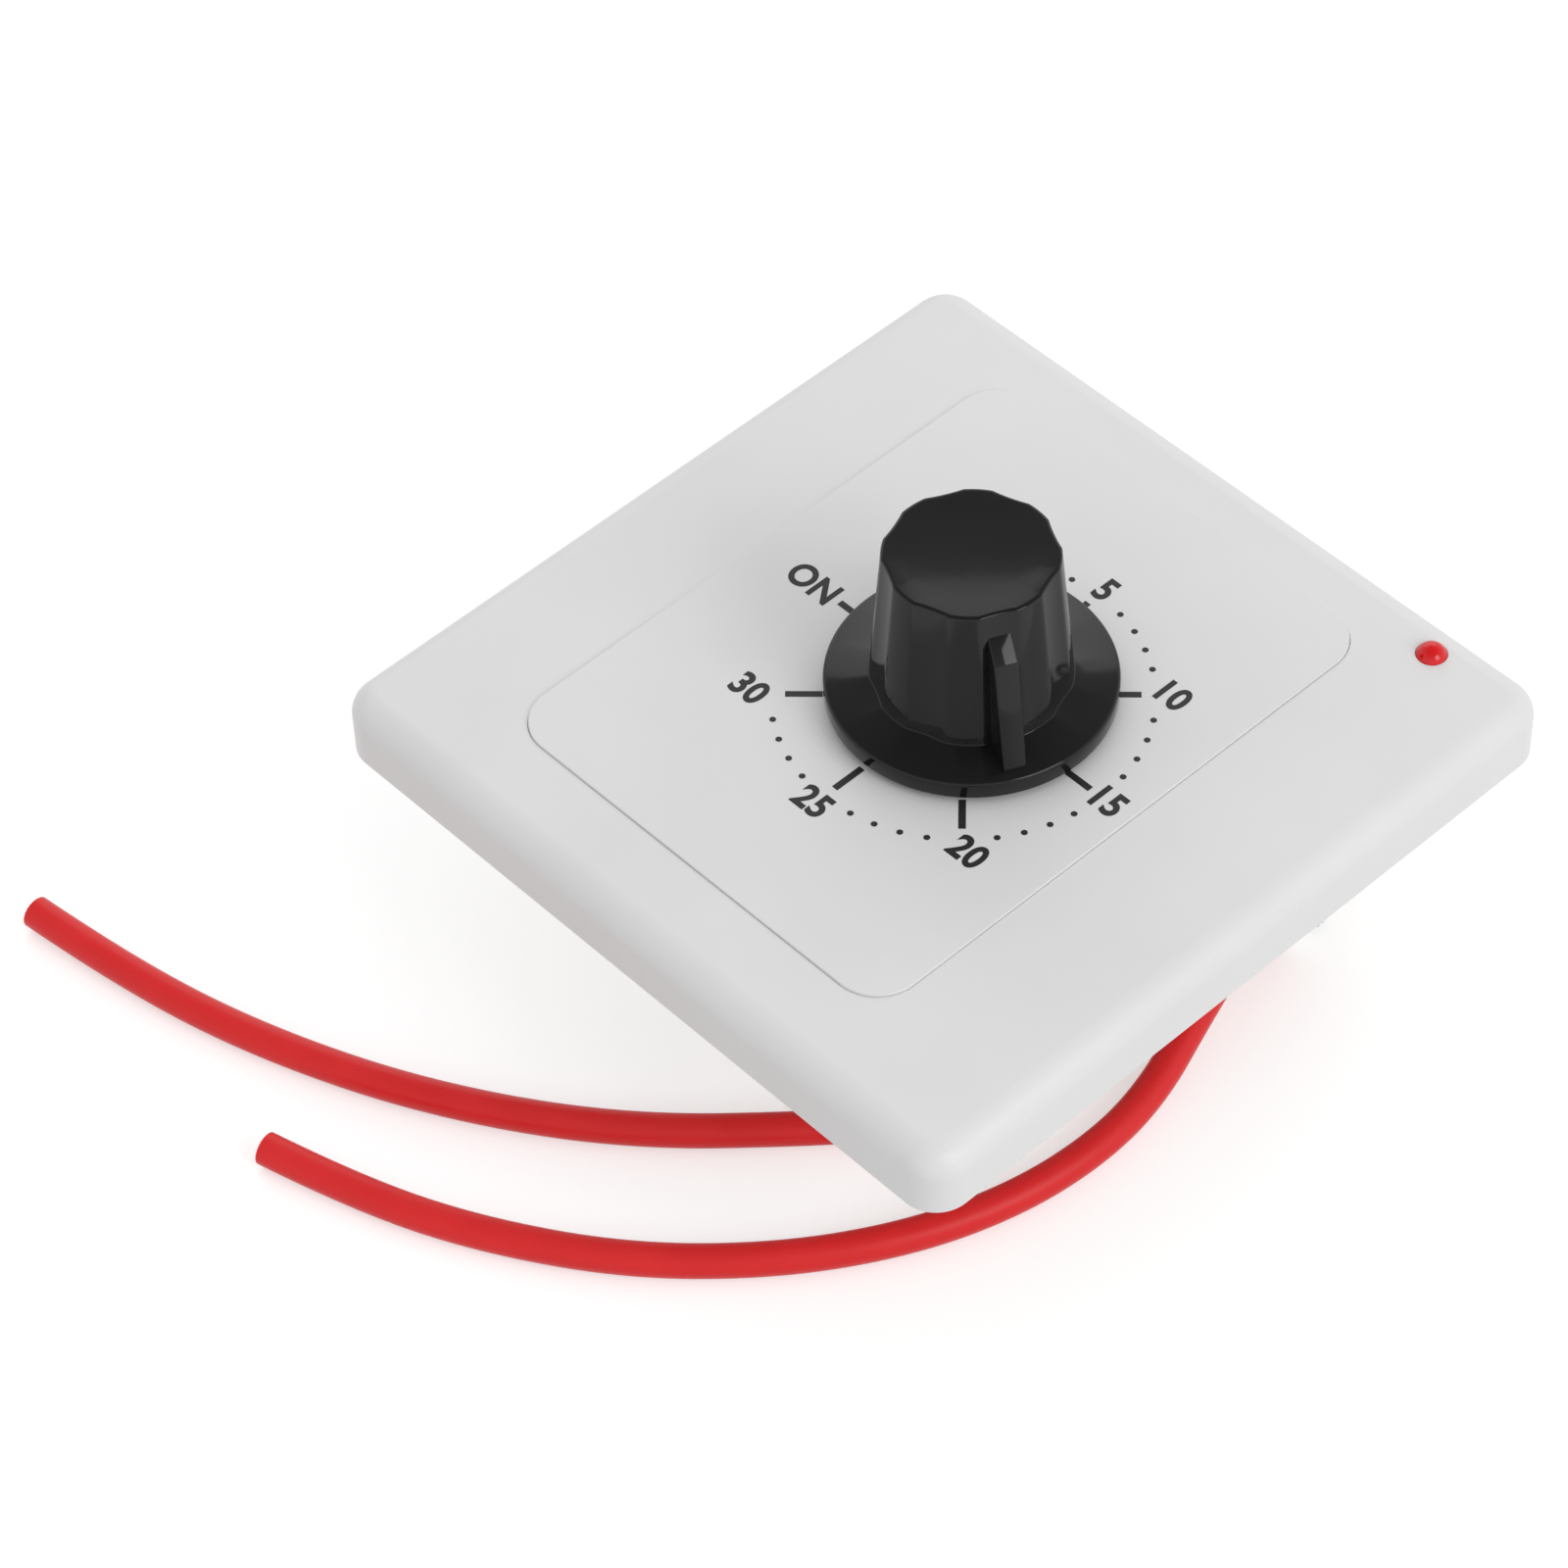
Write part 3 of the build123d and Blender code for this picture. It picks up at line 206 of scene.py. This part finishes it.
finishes = {
    "white_plastic": moulded_plastic(
        "white_cover_plastic",
        dark=(0.775, 0.775, 0.775),
        light=(0.8, 0.8, 0.8),
        rough=(0.36, 0.44),
        grain_scale=1800,
        grain_mm=0.004,
    ),
    "cream_plastic": moulded_plastic(
        "cream_case_plastic",
        dark=(0.66, 0.65, 0.61),
        light=(0.71, 0.7, 0.66),
        rough=(0.5, 0.6),
        grain_scale=1200,
        grain_mm=0.012,
    ),
    "black_plastic": moulded_plastic(
        "black_knob_plastic",
        dark=(0.005, 0.005, 0.0052),
        light=(0.0075, 0.0075, 0.0077),
        rough=(0.07, 0.1),
        grain_scale=700,
        grain_mm=0.0015,
        specular=0.33,
    ),
    "brown_phenolic": moulded_plastic(
        "brown_phenolic",
        dark=(0.13, 0.055, 0.025),
        light=(0.2, 0.09, 0.04),
        rough=(0.4, 0.55),
        grain_scale=1500,
        grain_mm=0.01,
    ),
    "red_lens": lamp_lens(),
    "red_insulation": wire_sheath(),
    "copper": worked_metal(
        "drawn_copper",
        dark=(0.66, 0.3, 0.17),
        light=(0.78, 0.4, 0.25),
        rough=(0.25, 0.4),
        stretch=(1, 0.05, 1),
        grain_mm=0.004,
    ),
    "brass": worked_metal(
        "rolled_brass",
        dark=(0.68, 0.5, 0.2),
        light=(0.78, 0.6, 0.28),
        rough=(0.22, 0.36),
        stretch=(0.08, 1, 1),
        grain_mm=0.003,
    ),
    "steel": worked_metal(
        "turned_steel",
        dark=(0.5, 0.5, 0.51),
        light=(0.62, 0.62, 0.63),
        rough=(0.22, 0.36),
        stretch=(1, 1, 0.1),
        grain_mm=0.003,
    ),
    "blued_steel": worked_metal(
        "blued_spring_steel",
        dark=(0.1, 0.12, 0.19),
        light=(0.17, 0.2, 0.3),
        rough=(0.25, 0.35),
        stretch=(1, 1, 0.06),
        grain_mm=0.002,
    ),
    "silver_contact": worked_metal(
        "silver_contact",
        dark=(0.8, 0.79, 0.76),
        light=(0.88, 0.87, 0.85),
        rough=(0.15, 0.28),
        stretch=(1, 1, 1),
        grain_mm=0.002,
    ),
}
ink = dial_ink()

for part in frame["record"]["subparts"]:
    node = nodes[part["node"]]
    node.data.materials.clear()
    node.data.materials.append(finishes[part["material_slot"]])


# Pieces in general
def settle(piece, body):
    """Puts a finished piece at the origin and on its body."""
    bpy.ops.object.select_all(action="DESELECT")
    piece.select_set(True)
    bpy.context.view_layer.objects.active = piece
    bpy.ops.object.transform_apply(location=True, rotation=True, scale=True)
    piece.select_set(False)
    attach(piece, body)


def join_pieces(pieces, name):
    bpy.ops.object.select_all(action="DESELECT")
    for piece in pieces:
        piece.select_set(True)
    bpy.context.view_layer.objects.active = pieces[0]
    bpy.ops.object.join()
    joined = bpy.context.object
    joined.name = name
    joined.select_set(False)
    return joined


# Free wires, each from the terminal block to its cut end
WIRE_D = 3.6
WIRE_A = [
    (20.0, 24.0, 5.0),
    (20.0, 15.0, 5.0),
    (20.7, 5.0, 3.3),
    (20.9, -3.5, 1.8),
    (20.2, -11.5, 1.8),
    (17.2, -19.4, 1.8),
    (10.6, -27.9, 1.8),
    (-3.0, -42.3, 1.8),
    (-20.0, -53.5, 1.8),
    (-38.0, -61.0, 1.8),
    (-55.0, -65.1, 1.8),
    (-68.3, -66.6, 1.8),
]
WIRE_B = [
    (25.9, 24.0, 5.0),
    (25.9, 16.5, 5.0),
    (28.2, 8.5, 3.6),
    (30.8, 0.0, 1.8),
    (32.1, -8.7, 1.8),
    (31.1, -19.2, 1.8),
    (27.2, -30.5, 1.8),
    (19.9, -42.1, 1.8),
    (9.3, -53.0, 1.8),
    (-3.9, -61.5, 1.8),
    (-16.5, -66.8, 1.8),
    (-27.1, -69.6, 1.8),
]
CORE_R = 0.9
CORE_LENGTH = 0.5
CORE_EDGE = 0.08
CORE_PROUD = 0.04


def add_wire_core(name, route):
    """Cut face of the copper conductor, just proud of the sheath at the free end."""
    end = Vector(route[-1])
    way = (end - Vector(route[-2])).normalized()
    middle = end + way * (CORE_PROUD - CORE_LENGTH / 2)
    bpy.ops.object.select_all(action="DESELECT")
    bpy.ops.mesh.primitive_cylinder_add(vertices=32, radius=CORE_R * MM, depth=CORE_LENGTH * MM)
    core = bpy.context.object
    core.name = name
    bpy.ops.object.mode_set(mode="EDIT")
    bpy.ops.mesh.select_all(action="SELECT")
    bpy.ops.mesh.bevel(offset=CORE_EDGE * MM, segments=2, affect="EDGES")
    bpy.ops.object.mode_set(mode="OBJECT")
    core.data.transform(way.to_track_quat("Z", "Y").to_matrix().to_4x4())
    core.data.transform(Matrix.Translation(middle * MM))
    core.data.materials.append(finishes["copper"])
    core.select_set(False)
    return core


def lay_wire(name, route):
    """A wire along its route, given in millimetres and laid in metres."""
    curve = bpy.data.curves.new(name, "CURVE")
    curve.dimensions = "3D"
    spline = curve.splines.new("NURBS")
    spline.points.add(len(route) - 1)
    for point, place in zip(spline.points, route):
        point.co = (*metres(*place), 1)
    spline.order_u = 3
    spline.use_endpoint_u = True
    spline.resolution_u = 16
    curve.bevel_depth = WIRE_D / 2 * MM
    curve.bevel_resolution = 8
    curve.use_fill_caps = True
    curve.materials.append(finishes["red_insulation"])
    wire = bpy.data.objects.new(name, curve)
    bpy.context.scene.collection.objects.link(wire)
    core = add_wire_core(name + "_core", route)
    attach(wire, "housing")
    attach(core, "housing")
    return wire


wire_a = lay_wire("wire_a", WIRE_A)
wire_b = lay_wire("wire_b", WIRE_B)
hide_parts("red_wire_a")
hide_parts("red_wire_b")


# Print on the dial, whose centre is a little off the knob's
DIAL_X, DIAL_Y = 2.0, 1.2
INK_SUNK, INK_PROUD = 0.02, 0.025
INK_DEPTH = INK_SUNK + INK_PROUD
INK_MIDDLE = PANEL_TOP + (INK_PROUD - INK_SUNK) / 2
MARK_STEP = 45
FIRST_ANGLE = 180
FIRST_DOTTED_ANGLE = 135
LAST_ANGLE = -135
TICK_IN, TICK_OUT, TICK_WIDTH = 14.0, 17.75, 0.75
DOT_RING, DOT_R, DOT_STEP = 19.2, 0.34, 8.15
DOT_PLACES = (-1.5, -0.5, 0.5, 1.5)
FIGURE_HEIGHT = 3.2
FIGURE_WIDE = 0.9
FIGURE_WEIGHT = 0.032
FIGURE_SPACING = 1.05
FIGURE_EXTRUDE = 0.01
FIGURE_PLACES = [
    ("OFF", -14.2, 17.2),
    ("5", 2.0, 21.5),
    ("10", 17.0, 15.9),
    ("15", 22.2, 1.3),
    ("20", 17.1, -13.0),
    ("25", 1.7, -19.2),
    ("30", -13.6, -13.3),
    ("ON", -19.6, 1.2),
]


def on_dial(radius, angle):
    return around(DIAL_X, DIAL_Y, radius, angle, INK_MIDDLE)


def copy_to(piece, place, angle=0):
    """A copy with its own mesh, turned and set down on the panel."""
    twin = piece.copy()
    twin.data = piece.data.copy()
    twin.location = place
    twin.rotation_euler.z = math.radians(angle)
    bpy.context.scene.collection.objects.link(twin)
    return twin


def add_dial_marks():
    """A tick at each figure, and dots between the ticks from OFF round to 30."""
    tick_size = ((TICK_OUT - TICK_IN) * MM, TICK_WIDTH * MM, INK_DEPTH * MM)
    bpy.ops.mesh.primitive_cube_add(size=1, scale=tick_size)
    tick = bpy.context.object
    bpy.ops.object.transform_apply(location=True, rotation=True, scale=True)
    bpy.ops.mesh.primitive_cylinder_add(vertices=24, radius=DOT_R * MM, depth=INK_DEPTH * MM)
    dot = bpy.context.object
    marks = []
    for angle in range(FIRST_ANGLE, LAST_ANGLE - 1, -MARK_STEP):
        marks.append(copy_to(tick, on_dial((TICK_IN + TICK_OUT) / 2, angle), angle))
    for angle in range(FIRST_DOTTED_ANGLE, LAST_ANGLE, -MARK_STEP):
        for place in DOT_PLACES:
            marks.append(copy_to(dot, on_dial(DOT_RING, angle - MARK_STEP / 2 + place * DOT_STEP)))
    bpy.data.objects.remove(tick)
    bpy.data.objects.remove(dot)
    dial_marks = join_pieces(marks, "dial_marks")
    dial_marks.data.materials.append(ink)
    settle(dial_marks, "housing")


def add_figure(text, x, y):
    """Printed characters whose middle is at x, y."""
    bpy.ops.object.text_add(location=(0, 0, 0))
    figure = bpy.context.object
    figure.data.body = text
    figure.data.size = 1
    figure.data.space_character = FIGURE_SPACING
    figure.data.offset = FIGURE_WEIGHT
    figure.data.extrude = FIGURE_EXTRUDE
    figure.data.resolution_u = 6
    bpy.ops.object.convert(target="MESH")
    figure = bpy.context.object
    xs = [vertex.co.x for vertex in figure.data.vertices]
    ys = [vertex.co.y for vertex in figure.data.vertices]
    scale = FIGURE_HEIGHT / (max(ys) - min(ys)) * MM
    depth_scale = INK_DEPTH / (2 * FIGURE_EXTRUDE) * MM
    centre = Vector(((max(xs) + min(xs)) / 2, (max(ys) + min(ys)) / 2, 0))
    figure.data.transform(Matrix.Translation(-centre))
    figure.data.transform(Matrix.Diagonal((scale * FIGURE_WIDE, scale, depth_scale, 1)))
    figure.data.transform(Matrix.Translation(metres(x, y, INK_MIDDLE)))
    figure.select_set(False)
    return figure


def add_dial_figures():
    figures = [add_figure(text, x, y) for text, x, y in FIGURE_PLACES]
    dial_figures = join_pieces(figures, "dial_figures")
    dial_figures.data.materials.clear()
    dial_figures.data.materials.append(ink)
    settle(dial_figures, "housing")


add_dial_marks()
add_dial_figures()


# Smooth copies of the cover and the panel
EDGE_ANGLE = 30


def dress(name, node_name, body, edge_mm):
    """A copy of a moulded piece with its edges softly rounded, as it comes out of the mould."""
    piece = nodes[node_name].copy()
    piece.data = nodes[node_name].data.copy()
    for key in list(piece.keys()):
        del piece[key]
    piece.name = name
    piece.parent = None
    bpy.context.scene.collection.objects.link(piece)
    bpy.ops.object.select_all(action="DESELECT")
    piece.select_set(True)
    bpy.context.view_layer.objects.active = piece
    bpy.ops.object.mode_set(mode="EDIT")
    bpy.ops.mesh.select_all(action="SELECT")
    bpy.ops.mesh.remove_doubles(threshold=0.002 * MM)
    bpy.ops.mesh.dissolve_limited(angle_limit=math.radians(0.5))
    bpy.ops.object.mode_set(mode="OBJECT")
    edge = piece.modifiers.new("moulded_edge", "BEVEL")
    edge.width = edge_mm * MM
    edge.segments = 3
    edge.limit_method = "ANGLE"
    edge.angle_limit = math.radians(EDGE_ANGLE)
    bpy.ops.object.modifier_apply(modifier=edge.name)
    bpy.ops.object.shade_smooth_by_angle(angle=math.radians(EDGE_ANGLE))
    flat = piece.modifiers.new("flat_faces_stay_flat", "WEIGHTED_NORMAL")
    flat.keep_sharp = True
    flat.weight = 100
    bpy.ops.object.modifier_apply(modifier=flat.name)
    piece.select_set(False)
    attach(piece, body)
    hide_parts(node_name)


dress("moulded_cover", "face_cover", "housing", 0.12)
dress("moulded_panel", "dial_panel", "housing", 0.1)


# Knob, built afresh so that its flutes and edges are smooth
RING_STEPS = 192
STEP_ANGLE = 360 / RING_STEPS
FOOT_R, FOOT_Z = 10.2, 41.55
TOP_R, TOP_Z = 8.85, 58.2
RIM_R, RIM_Z = 14.8, 41.0
UNDER_Z = 38.9
BORE_R, BORE_TOP = 4.4, 54.2
BOSS_R = 5.8
HOLLOW_TOP_R, HOLLOW_TOP_Z = 7.05, 56.4
HOLLOW_FOOT_R, HOLLOW_FOOT_Z = 8.4, 39.9
SKIRT_IN_R, SKIRT_IN_Z = 13.0, 39.375
DISHED_TOP = [(8.4, 58.19), (7.0, 58.1), (5.0, 58.0), (3.0, 57.94), (1.0, 57.9)]

# Radius and height of each ring of the knob's section, from the end of its bore to the middle of its top
KNOB_PROFILE = [
    (BORE_R, BORE_TOP),
    (BORE_R, UNDER_Z),
    (BOSS_R, UNDER_Z),
    (BOSS_R, HOLLOW_TOP_Z),
    (HOLLOW_TOP_R, HOLLOW_TOP_Z),
    (HOLLOW_FOOT_R, HOLLOW_FOOT_Z),
    (SKIRT_IN_R, SKIRT_IN_Z),
    (SKIRT_IN_R, UNDER_Z),
    (RIM_R, UNDER_Z),
    (RIM_R, RIM_Z),
    (FOOT_R, FOOT_Z),
    (TOP_R, TOP_Z),
    *DISHED_TOP,
]

# Radius and height of each rounded edge, with the width and the segments of its rounding
KNOB_EDGES = [
    (RIM_R, UNDER_Z, 0.25, 3),
    (RIM_R, RIM_Z, 0.35, 4),
    (FOOT_R, FOOT_Z, 0.14, 2),
    (TOP_R, TOP_Z, 0.28, 4),
]

FLUTE_COUNT, FLUTE_R, FLUTE_DEPTH = 8, 18.0, 0.34
FLUTE_PITCH = 360 / FLUTE_COUNT

# Radius of the barrel at each end, with the heights and the radii that hold that end's vertices
FLUTE_ENDS = [
    (FOOT_R, (41.3, 43.0), (9.5, 10.8)),
    (TOP_R, (57.5, 58.3), (8.2, 9.2)),
]

GRUB_HOLE_R, GRUB_HOLE_Z = 2.1, 47.5
GRUB_HOLE_IN, GRUB_HOLE_OUT = 3.4, 15.8

FIN_IN, FIN_OUT, FIN_WIDTH = 8.6, 13.7, 2.4
FIN_LOW, FIN_TIP_Z, FIN_HIGH = 39.95, 41.175, 55.5
FIN_SHOULDER_R, FIN_SHOULDER_Z = 10.8, 53.2
FIN_EDGE = 0.14

KNOB_CENTRE = metres(KNOB_X, KNOB_Y, 0)
SAME_PLACE = 0.02
BARREL_SMOOTH = 42
FIN_SMOOTH = 32


def around_knob(radius, angle, z):
    return around(KNOB_X, KNOB_Y, radius, angle, z)


def select_by_place(piece, wanted):
    """Selects the vertices whose radius, height and angle from the pointer suit, and what joins them."""
    bpy.ops.mesh.select_all(action="DESELECT")
    shape = bmesh.from_edit_mesh(piece.data)
    for vertex in shape.verts:
        x, y = vertex.co.x / MM - KNOB_X, vertex.co.y / MM - KNOB_Y
        angle = math.degrees(math.atan2(y, x)) - POINTER_ANGLE
        vertex.select_set(wanted(math.hypot(x, y), vertex.co.z / MM, angle))
    shape.select_flush(True)
    bmesh.update_edit_mesh(piece.data)


def select_ring(piece, radius, z):
    def on_ring(r, height, angle):
        return abs(r - radius) < SAME_PLACE and abs(height - z) < SAME_PLACE

    select_by_place(piece, on_ring)


def select_flute_line(piece, line, heights, radii):
    """Selects one line of vertices on each side of every flute, counted from the flute's middle."""

    def on_line(r, height, angle):
        offset = abs((angle + FLUTE_PITCH / 2) % FLUTE_PITCH - FLUTE_PITCH / 2)
        in_band = heights[0] < height < heights[1] and radii[0] < r < radii[1]
        return in_band and round(offset / STEP_ANGLE) == line

    select_by_place(piece, on_line)


def resize_about_axis(share):
    bpy.ops.transform.resize(value=(share, share, 1), center_override=KNOB_CENTRE)


def draw_in_flutes(piece, radius, heights, radii):
    """Draws in each line of vertices under a flute, by the depth that the flute has there."""
    centre = radius + FLUTE_R - FLUTE_DEPTH
    line = 0
    while True:
        turn = math.radians(line * STEP_ANGLE)
        flute_r = centre * math.cos(turn) - math.sqrt(FLUTE_R**2 - (centre * math.sin(turn)) ** 2)
        if flute_r >= radius:
            break
        select_flute_line(piece, line, heights, radii)
        resize_about_axis(flute_r / radius)
        line += 1


def add_knob_body():
    bpy.ops.object.select_all(action="DESELECT")
    bpy.ops.mesh.primitive_circle_add(
        vertices=RING_STEPS,
        radius=BORE_R * MM,
        location=metres(KNOB_X, KNOB_Y, BORE_TOP),
        rotation=(0, 0, math.radians(POINTER_ANGLE)),
    )
    body = bpy.context.object
    bpy.ops.object.transform_apply(location=True, rotation=True, scale=True)
    bpy.ops.object.mode_set(mode="EDIT")
    bpy.ops.mesh.select_mode(type="VERT")
    bpy.ops.mesh.select_all(action="SELECT")
    for (old_r, old_z), (new_r, new_z) in zip(KNOB_PROFILE, KNOB_PROFILE[1:]):
        bpy.ops.mesh.extrude_region_move(TRANSFORM_OT_translate={"value": (0, 0, (new_z - old_z) * MM)})
        resize_about_axis(new_r / old_r)
    for radius, z in (KNOB_PROFILE[0], KNOB_PROFILE[-1]):
        select_ring(body, radius, z)
        bpy.ops.mesh.edge_face_add()
    for radius, z, width, segments in KNOB_EDGES:
        select_ring(body, radius, z)
        bpy.ops.mesh.bevel(offset=width * MM, segments=segments, affect="EDGES")
    for radius, heights, radii in FLUTE_ENDS:
        draw_in_flutes(body, radius, heights, radii)
    bpy.ops.mesh.select_all(action="SELECT")
    bpy.ops.mesh.normals_make_consistent(inside=False)
    bpy.ops.object.mode_set(mode="OBJECT")
    body.select_set(False)
    return body


def cut_grub_hole(body):
    """Cuts the hole for the grub screw, from the side across from the pointer."""
    hole_angle = POINTER_ANGLE + 180
    bpy.ops.mesh.primitive_cylinder_add(
        vertices=64,
        radius=GRUB_HOLE_R * MM,
        depth=(GRUB_HOLE_OUT - GRUB_HOLE_IN) * MM,
        location=around_knob((GRUB_HOLE_IN + GRUB_HOLE_OUT) / 2, hole_angle, GRUB_HOLE_Z),
        rotation=(0, math.radians(90), math.radians(hole_angle)),
    )
    drill = bpy.context.object
    drill.select_set(False)
    body.select_set(True)
    bpy.context.view_layer.objects.active = body
    hole = body.modifiers.new("grub_hole", "BOOLEAN")
    hole.operation = "DIFFERENCE"
    hole.solver = "EXACT"
    hole.object = drill
    bpy.ops.object.modifier_apply(modifier=hole.name)
    bpy.data.objects.remove(drill)
    bpy.ops.object.shade_smooth_by_angle(angle=math.radians(BARREL_SMOOTH))
    body.select_set(False)


def cut_fin_slope(low_r, low_z, high_r, high_z):
    """Cuts off what lies outside the slope between two places on the fin's outline."""
    turn = math.radians(POINTER_ANGLE)
    outward = Vector((math.cos(turn), math.sin(turn), 0))
    slope = outward * (high_z - low_z) + Vector((0, 0, low_r - high_r))
    bpy.ops.mesh.select_all(action="SELECT")
    bpy.ops.mesh.bisect(
        plane_co=around_knob(low_r, POINTER_ANGLE, low_z),
        plane_no=slope.normalized(),
        use_fill=True,
        clear_outer=True,
    )


def add_pointer_fin():
    """The raised fin that points at the dial, cut from a block by two slopes."""
    bpy.ops.mesh.primitive_cube_add(
        size=1,
        location=around_knob((FIN_IN + FIN_OUT) / 2, POINTER_ANGLE, (FIN_LOW + FIN_HIGH) / 2),
        rotation=(0, 0, math.radians(POINTER_ANGLE)),
        scale=((FIN_OUT - FIN_IN) * MM, FIN_WIDTH * MM, (FIN_HIGH - FIN_LOW) * MM),
    )
    fin = bpy.context.object
    bpy.ops.object.transform_apply(location=True, rotation=True, scale=True)
    bpy.ops.object.mode_set(mode="EDIT")
    cut_fin_slope(FIN_OUT, FIN_TIP_Z, FIN_SHOULDER_R, FIN_SHOULDER_Z)
    cut_fin_slope(FIN_SHOULDER_R, FIN_SHOULDER_Z, FIN_IN, FIN_HIGH)
    bpy.ops.mesh.select_all(action="SELECT")
    bpy.ops.mesh.bevel(offset=FIN_EDGE * MM, segments=3, affect="EDGES")
    bpy.ops.mesh.select_all(action="SELECT")
    bpy.ops.mesh.normals_make_consistent(inside=False)
    bpy.ops.object.mode_set(mode="OBJECT")
    bpy.ops.object.shade_smooth_by_angle(angle=math.radians(FIN_SMOOTH))
    fin.select_set(False)
    return fin


knob_body = add_knob_body()
cut_grub_hole(knob_body)
moulded_knob = join_pieces([knob_body, add_pointer_fin()], "moulded_knob")
moulded_knob.data.materials.append(finishes["black_plastic"])
settle(moulded_knob, "knob_and_arbor")
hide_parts("knob")


# Studio
AMBIENT = 0.72
HORIZON_LEVEL, OVERHEAD_LEVEL = 1.0, 0.25
HORIZON_Z, OVERHEAD_Z = 0.3, 0.95
FLOOR_GAP = 0.00005
FLOOR_TONE = 0.7
FLOOR_GLOW = 0.5
LAMP_AIM = (0, 0, 0.03)


def larger(tree, one, other):
    node = tree.nodes.new("ShaderNodeMath")
    node.operation = "MAXIMUM"
    tree.links.new(one, node.inputs[0])
    tree.links.new(other, node.inputs[1])
    return node.outputs[0]


def add_floor():
    """A pale floor that takes the shadow, and glows a little to the camera and in reflections."""
    bpy.ops.mesh.primitive_plane_add(size=8, location=(0, 0, -FLOOR_GAP))
    floor = bpy.context.object
    floor.name = "studio_floor"
    floor.select_set(False)
    paper = bpy.data.materials.new("studio_paper")
    paper.use_nodes = True
    tree = paper.node_tree
    shader = shader_of(paper)
    shader.inputs["Base Color"].default_value = (FLOOR_TONE, FLOOR_TONE, FLOOR_TONE, 1)
    shader.inputs["Roughness"].default_value = 0.9
    shader.inputs["Specular IOR Level"].default_value = 0.0
    glow = tree.nodes.new("ShaderNodeEmission")
    rays = tree.nodes.new("ShaderNodeLightPath")
    plain = larger(tree, rays.outputs["Is Camera Ray"], rays.outputs["Is Transmission Ray"])
    seen = larger(tree, plain, rays.outputs["Is Glossy Ray"])
    level = tree.nodes.new("ShaderNodeMath")
    level.operation = "MULTIPLY"
    level.inputs[1].default_value = FLOOR_GLOW
    tree.links.new(seen, level.inputs[0])
    tree.links.new(level.outputs[0], glow.inputs["Strength"])
    both = tree.nodes.new("ShaderNodeAddShader")
    tree.links.new(shader.outputs["BSDF"], both.inputs[0])
    tree.links.new(glow.outputs["Emission"], both.inputs[1])
    output = next(node for node in tree.nodes if node.type == "OUTPUT_MATERIAL")
    tree.links.new(both.outputs["Shader"], output.inputs["Surface"])
    floor.data.materials.append(paper)


def light_studio():
    """White all round to the camera and to clear plastic; reflections see it darken overhead."""
    world = bpy.data.worlds.new("studio_world")
    bpy.context.scene.world = world
    world.use_nodes = True
    tree = world.node_tree
    backdrop = next(node for node in tree.nodes if node.type == "BACKGROUND")
    backdrop.inputs["Color"].default_value = (1, 1, 1, 1)
    rays = tree.nodes.new("ShaderNodeLightPath")
    plain = larger(tree, rays.outputs["Is Camera Ray"], rays.outputs["Is Transmission Ray"])
    way = tree.nodes.new("ShaderNodeTexCoord")
    height = tree.nodes.new("ShaderNodeSeparateXYZ")
    tree.links.new(way.outputs["Generated"], height.inputs["Vector"])
    ceiling = tree.nodes.new("ShaderNodeMapRange")
    ceiling.inputs["From Min"].default_value = HORIZON_Z
    ceiling.inputs["From Max"].default_value = OVERHEAD_Z
    ceiling.inputs["To Min"].default_value = HORIZON_LEVEL
    ceiling.inputs["To Max"].default_value = OVERHEAD_LEVEL
    tree.links.new(height.outputs["Z"], ceiling.inputs["Value"])
    shown = larger(tree, plain, ceiling.outputs["Result"])
    seen = larger(tree, plain, rays.outputs["Is Glossy Ray"])
    level = tree.nodes.new("ShaderNodeMapRange")
    level.inputs["To Min"].default_value = AMBIENT
    tree.links.new(seen, level.inputs["Value"])
    tree.links.new(shown, level.inputs["To Max"])
    tree.links.new(level.outputs["Result"], backdrop.inputs["Strength"])


def add_softbox(name, place, width, height, watts):
    bpy.ops.object.light_add(type="AREA", location=place)
    lamp = bpy.context.object
    lamp.name = name
    lamp.data.shape = "RECTANGLE"
    lamp.data.size = width
    lamp.data.size_y = height
    lamp.data.energy = watts
    lamp.rotation_euler = (Vector(place) - Vector(LAMP_AIM)).to_track_quat("Z", "Y").to_euler()
    lamp.select_set(False)


add_floor()
light_studio()
add_softbox("back_softbox", (-0.74, 0.66, 0.64), width=1.2, height=0.54, watts=1.8)
add_softbox("side_softbox", (0.75, 0.05, 0.5), width=0.45, height=0.45, watts=2.2)

bpy.context.scene.view_settings.view_transform = "Standard"

bpy.context.view_layer.update()
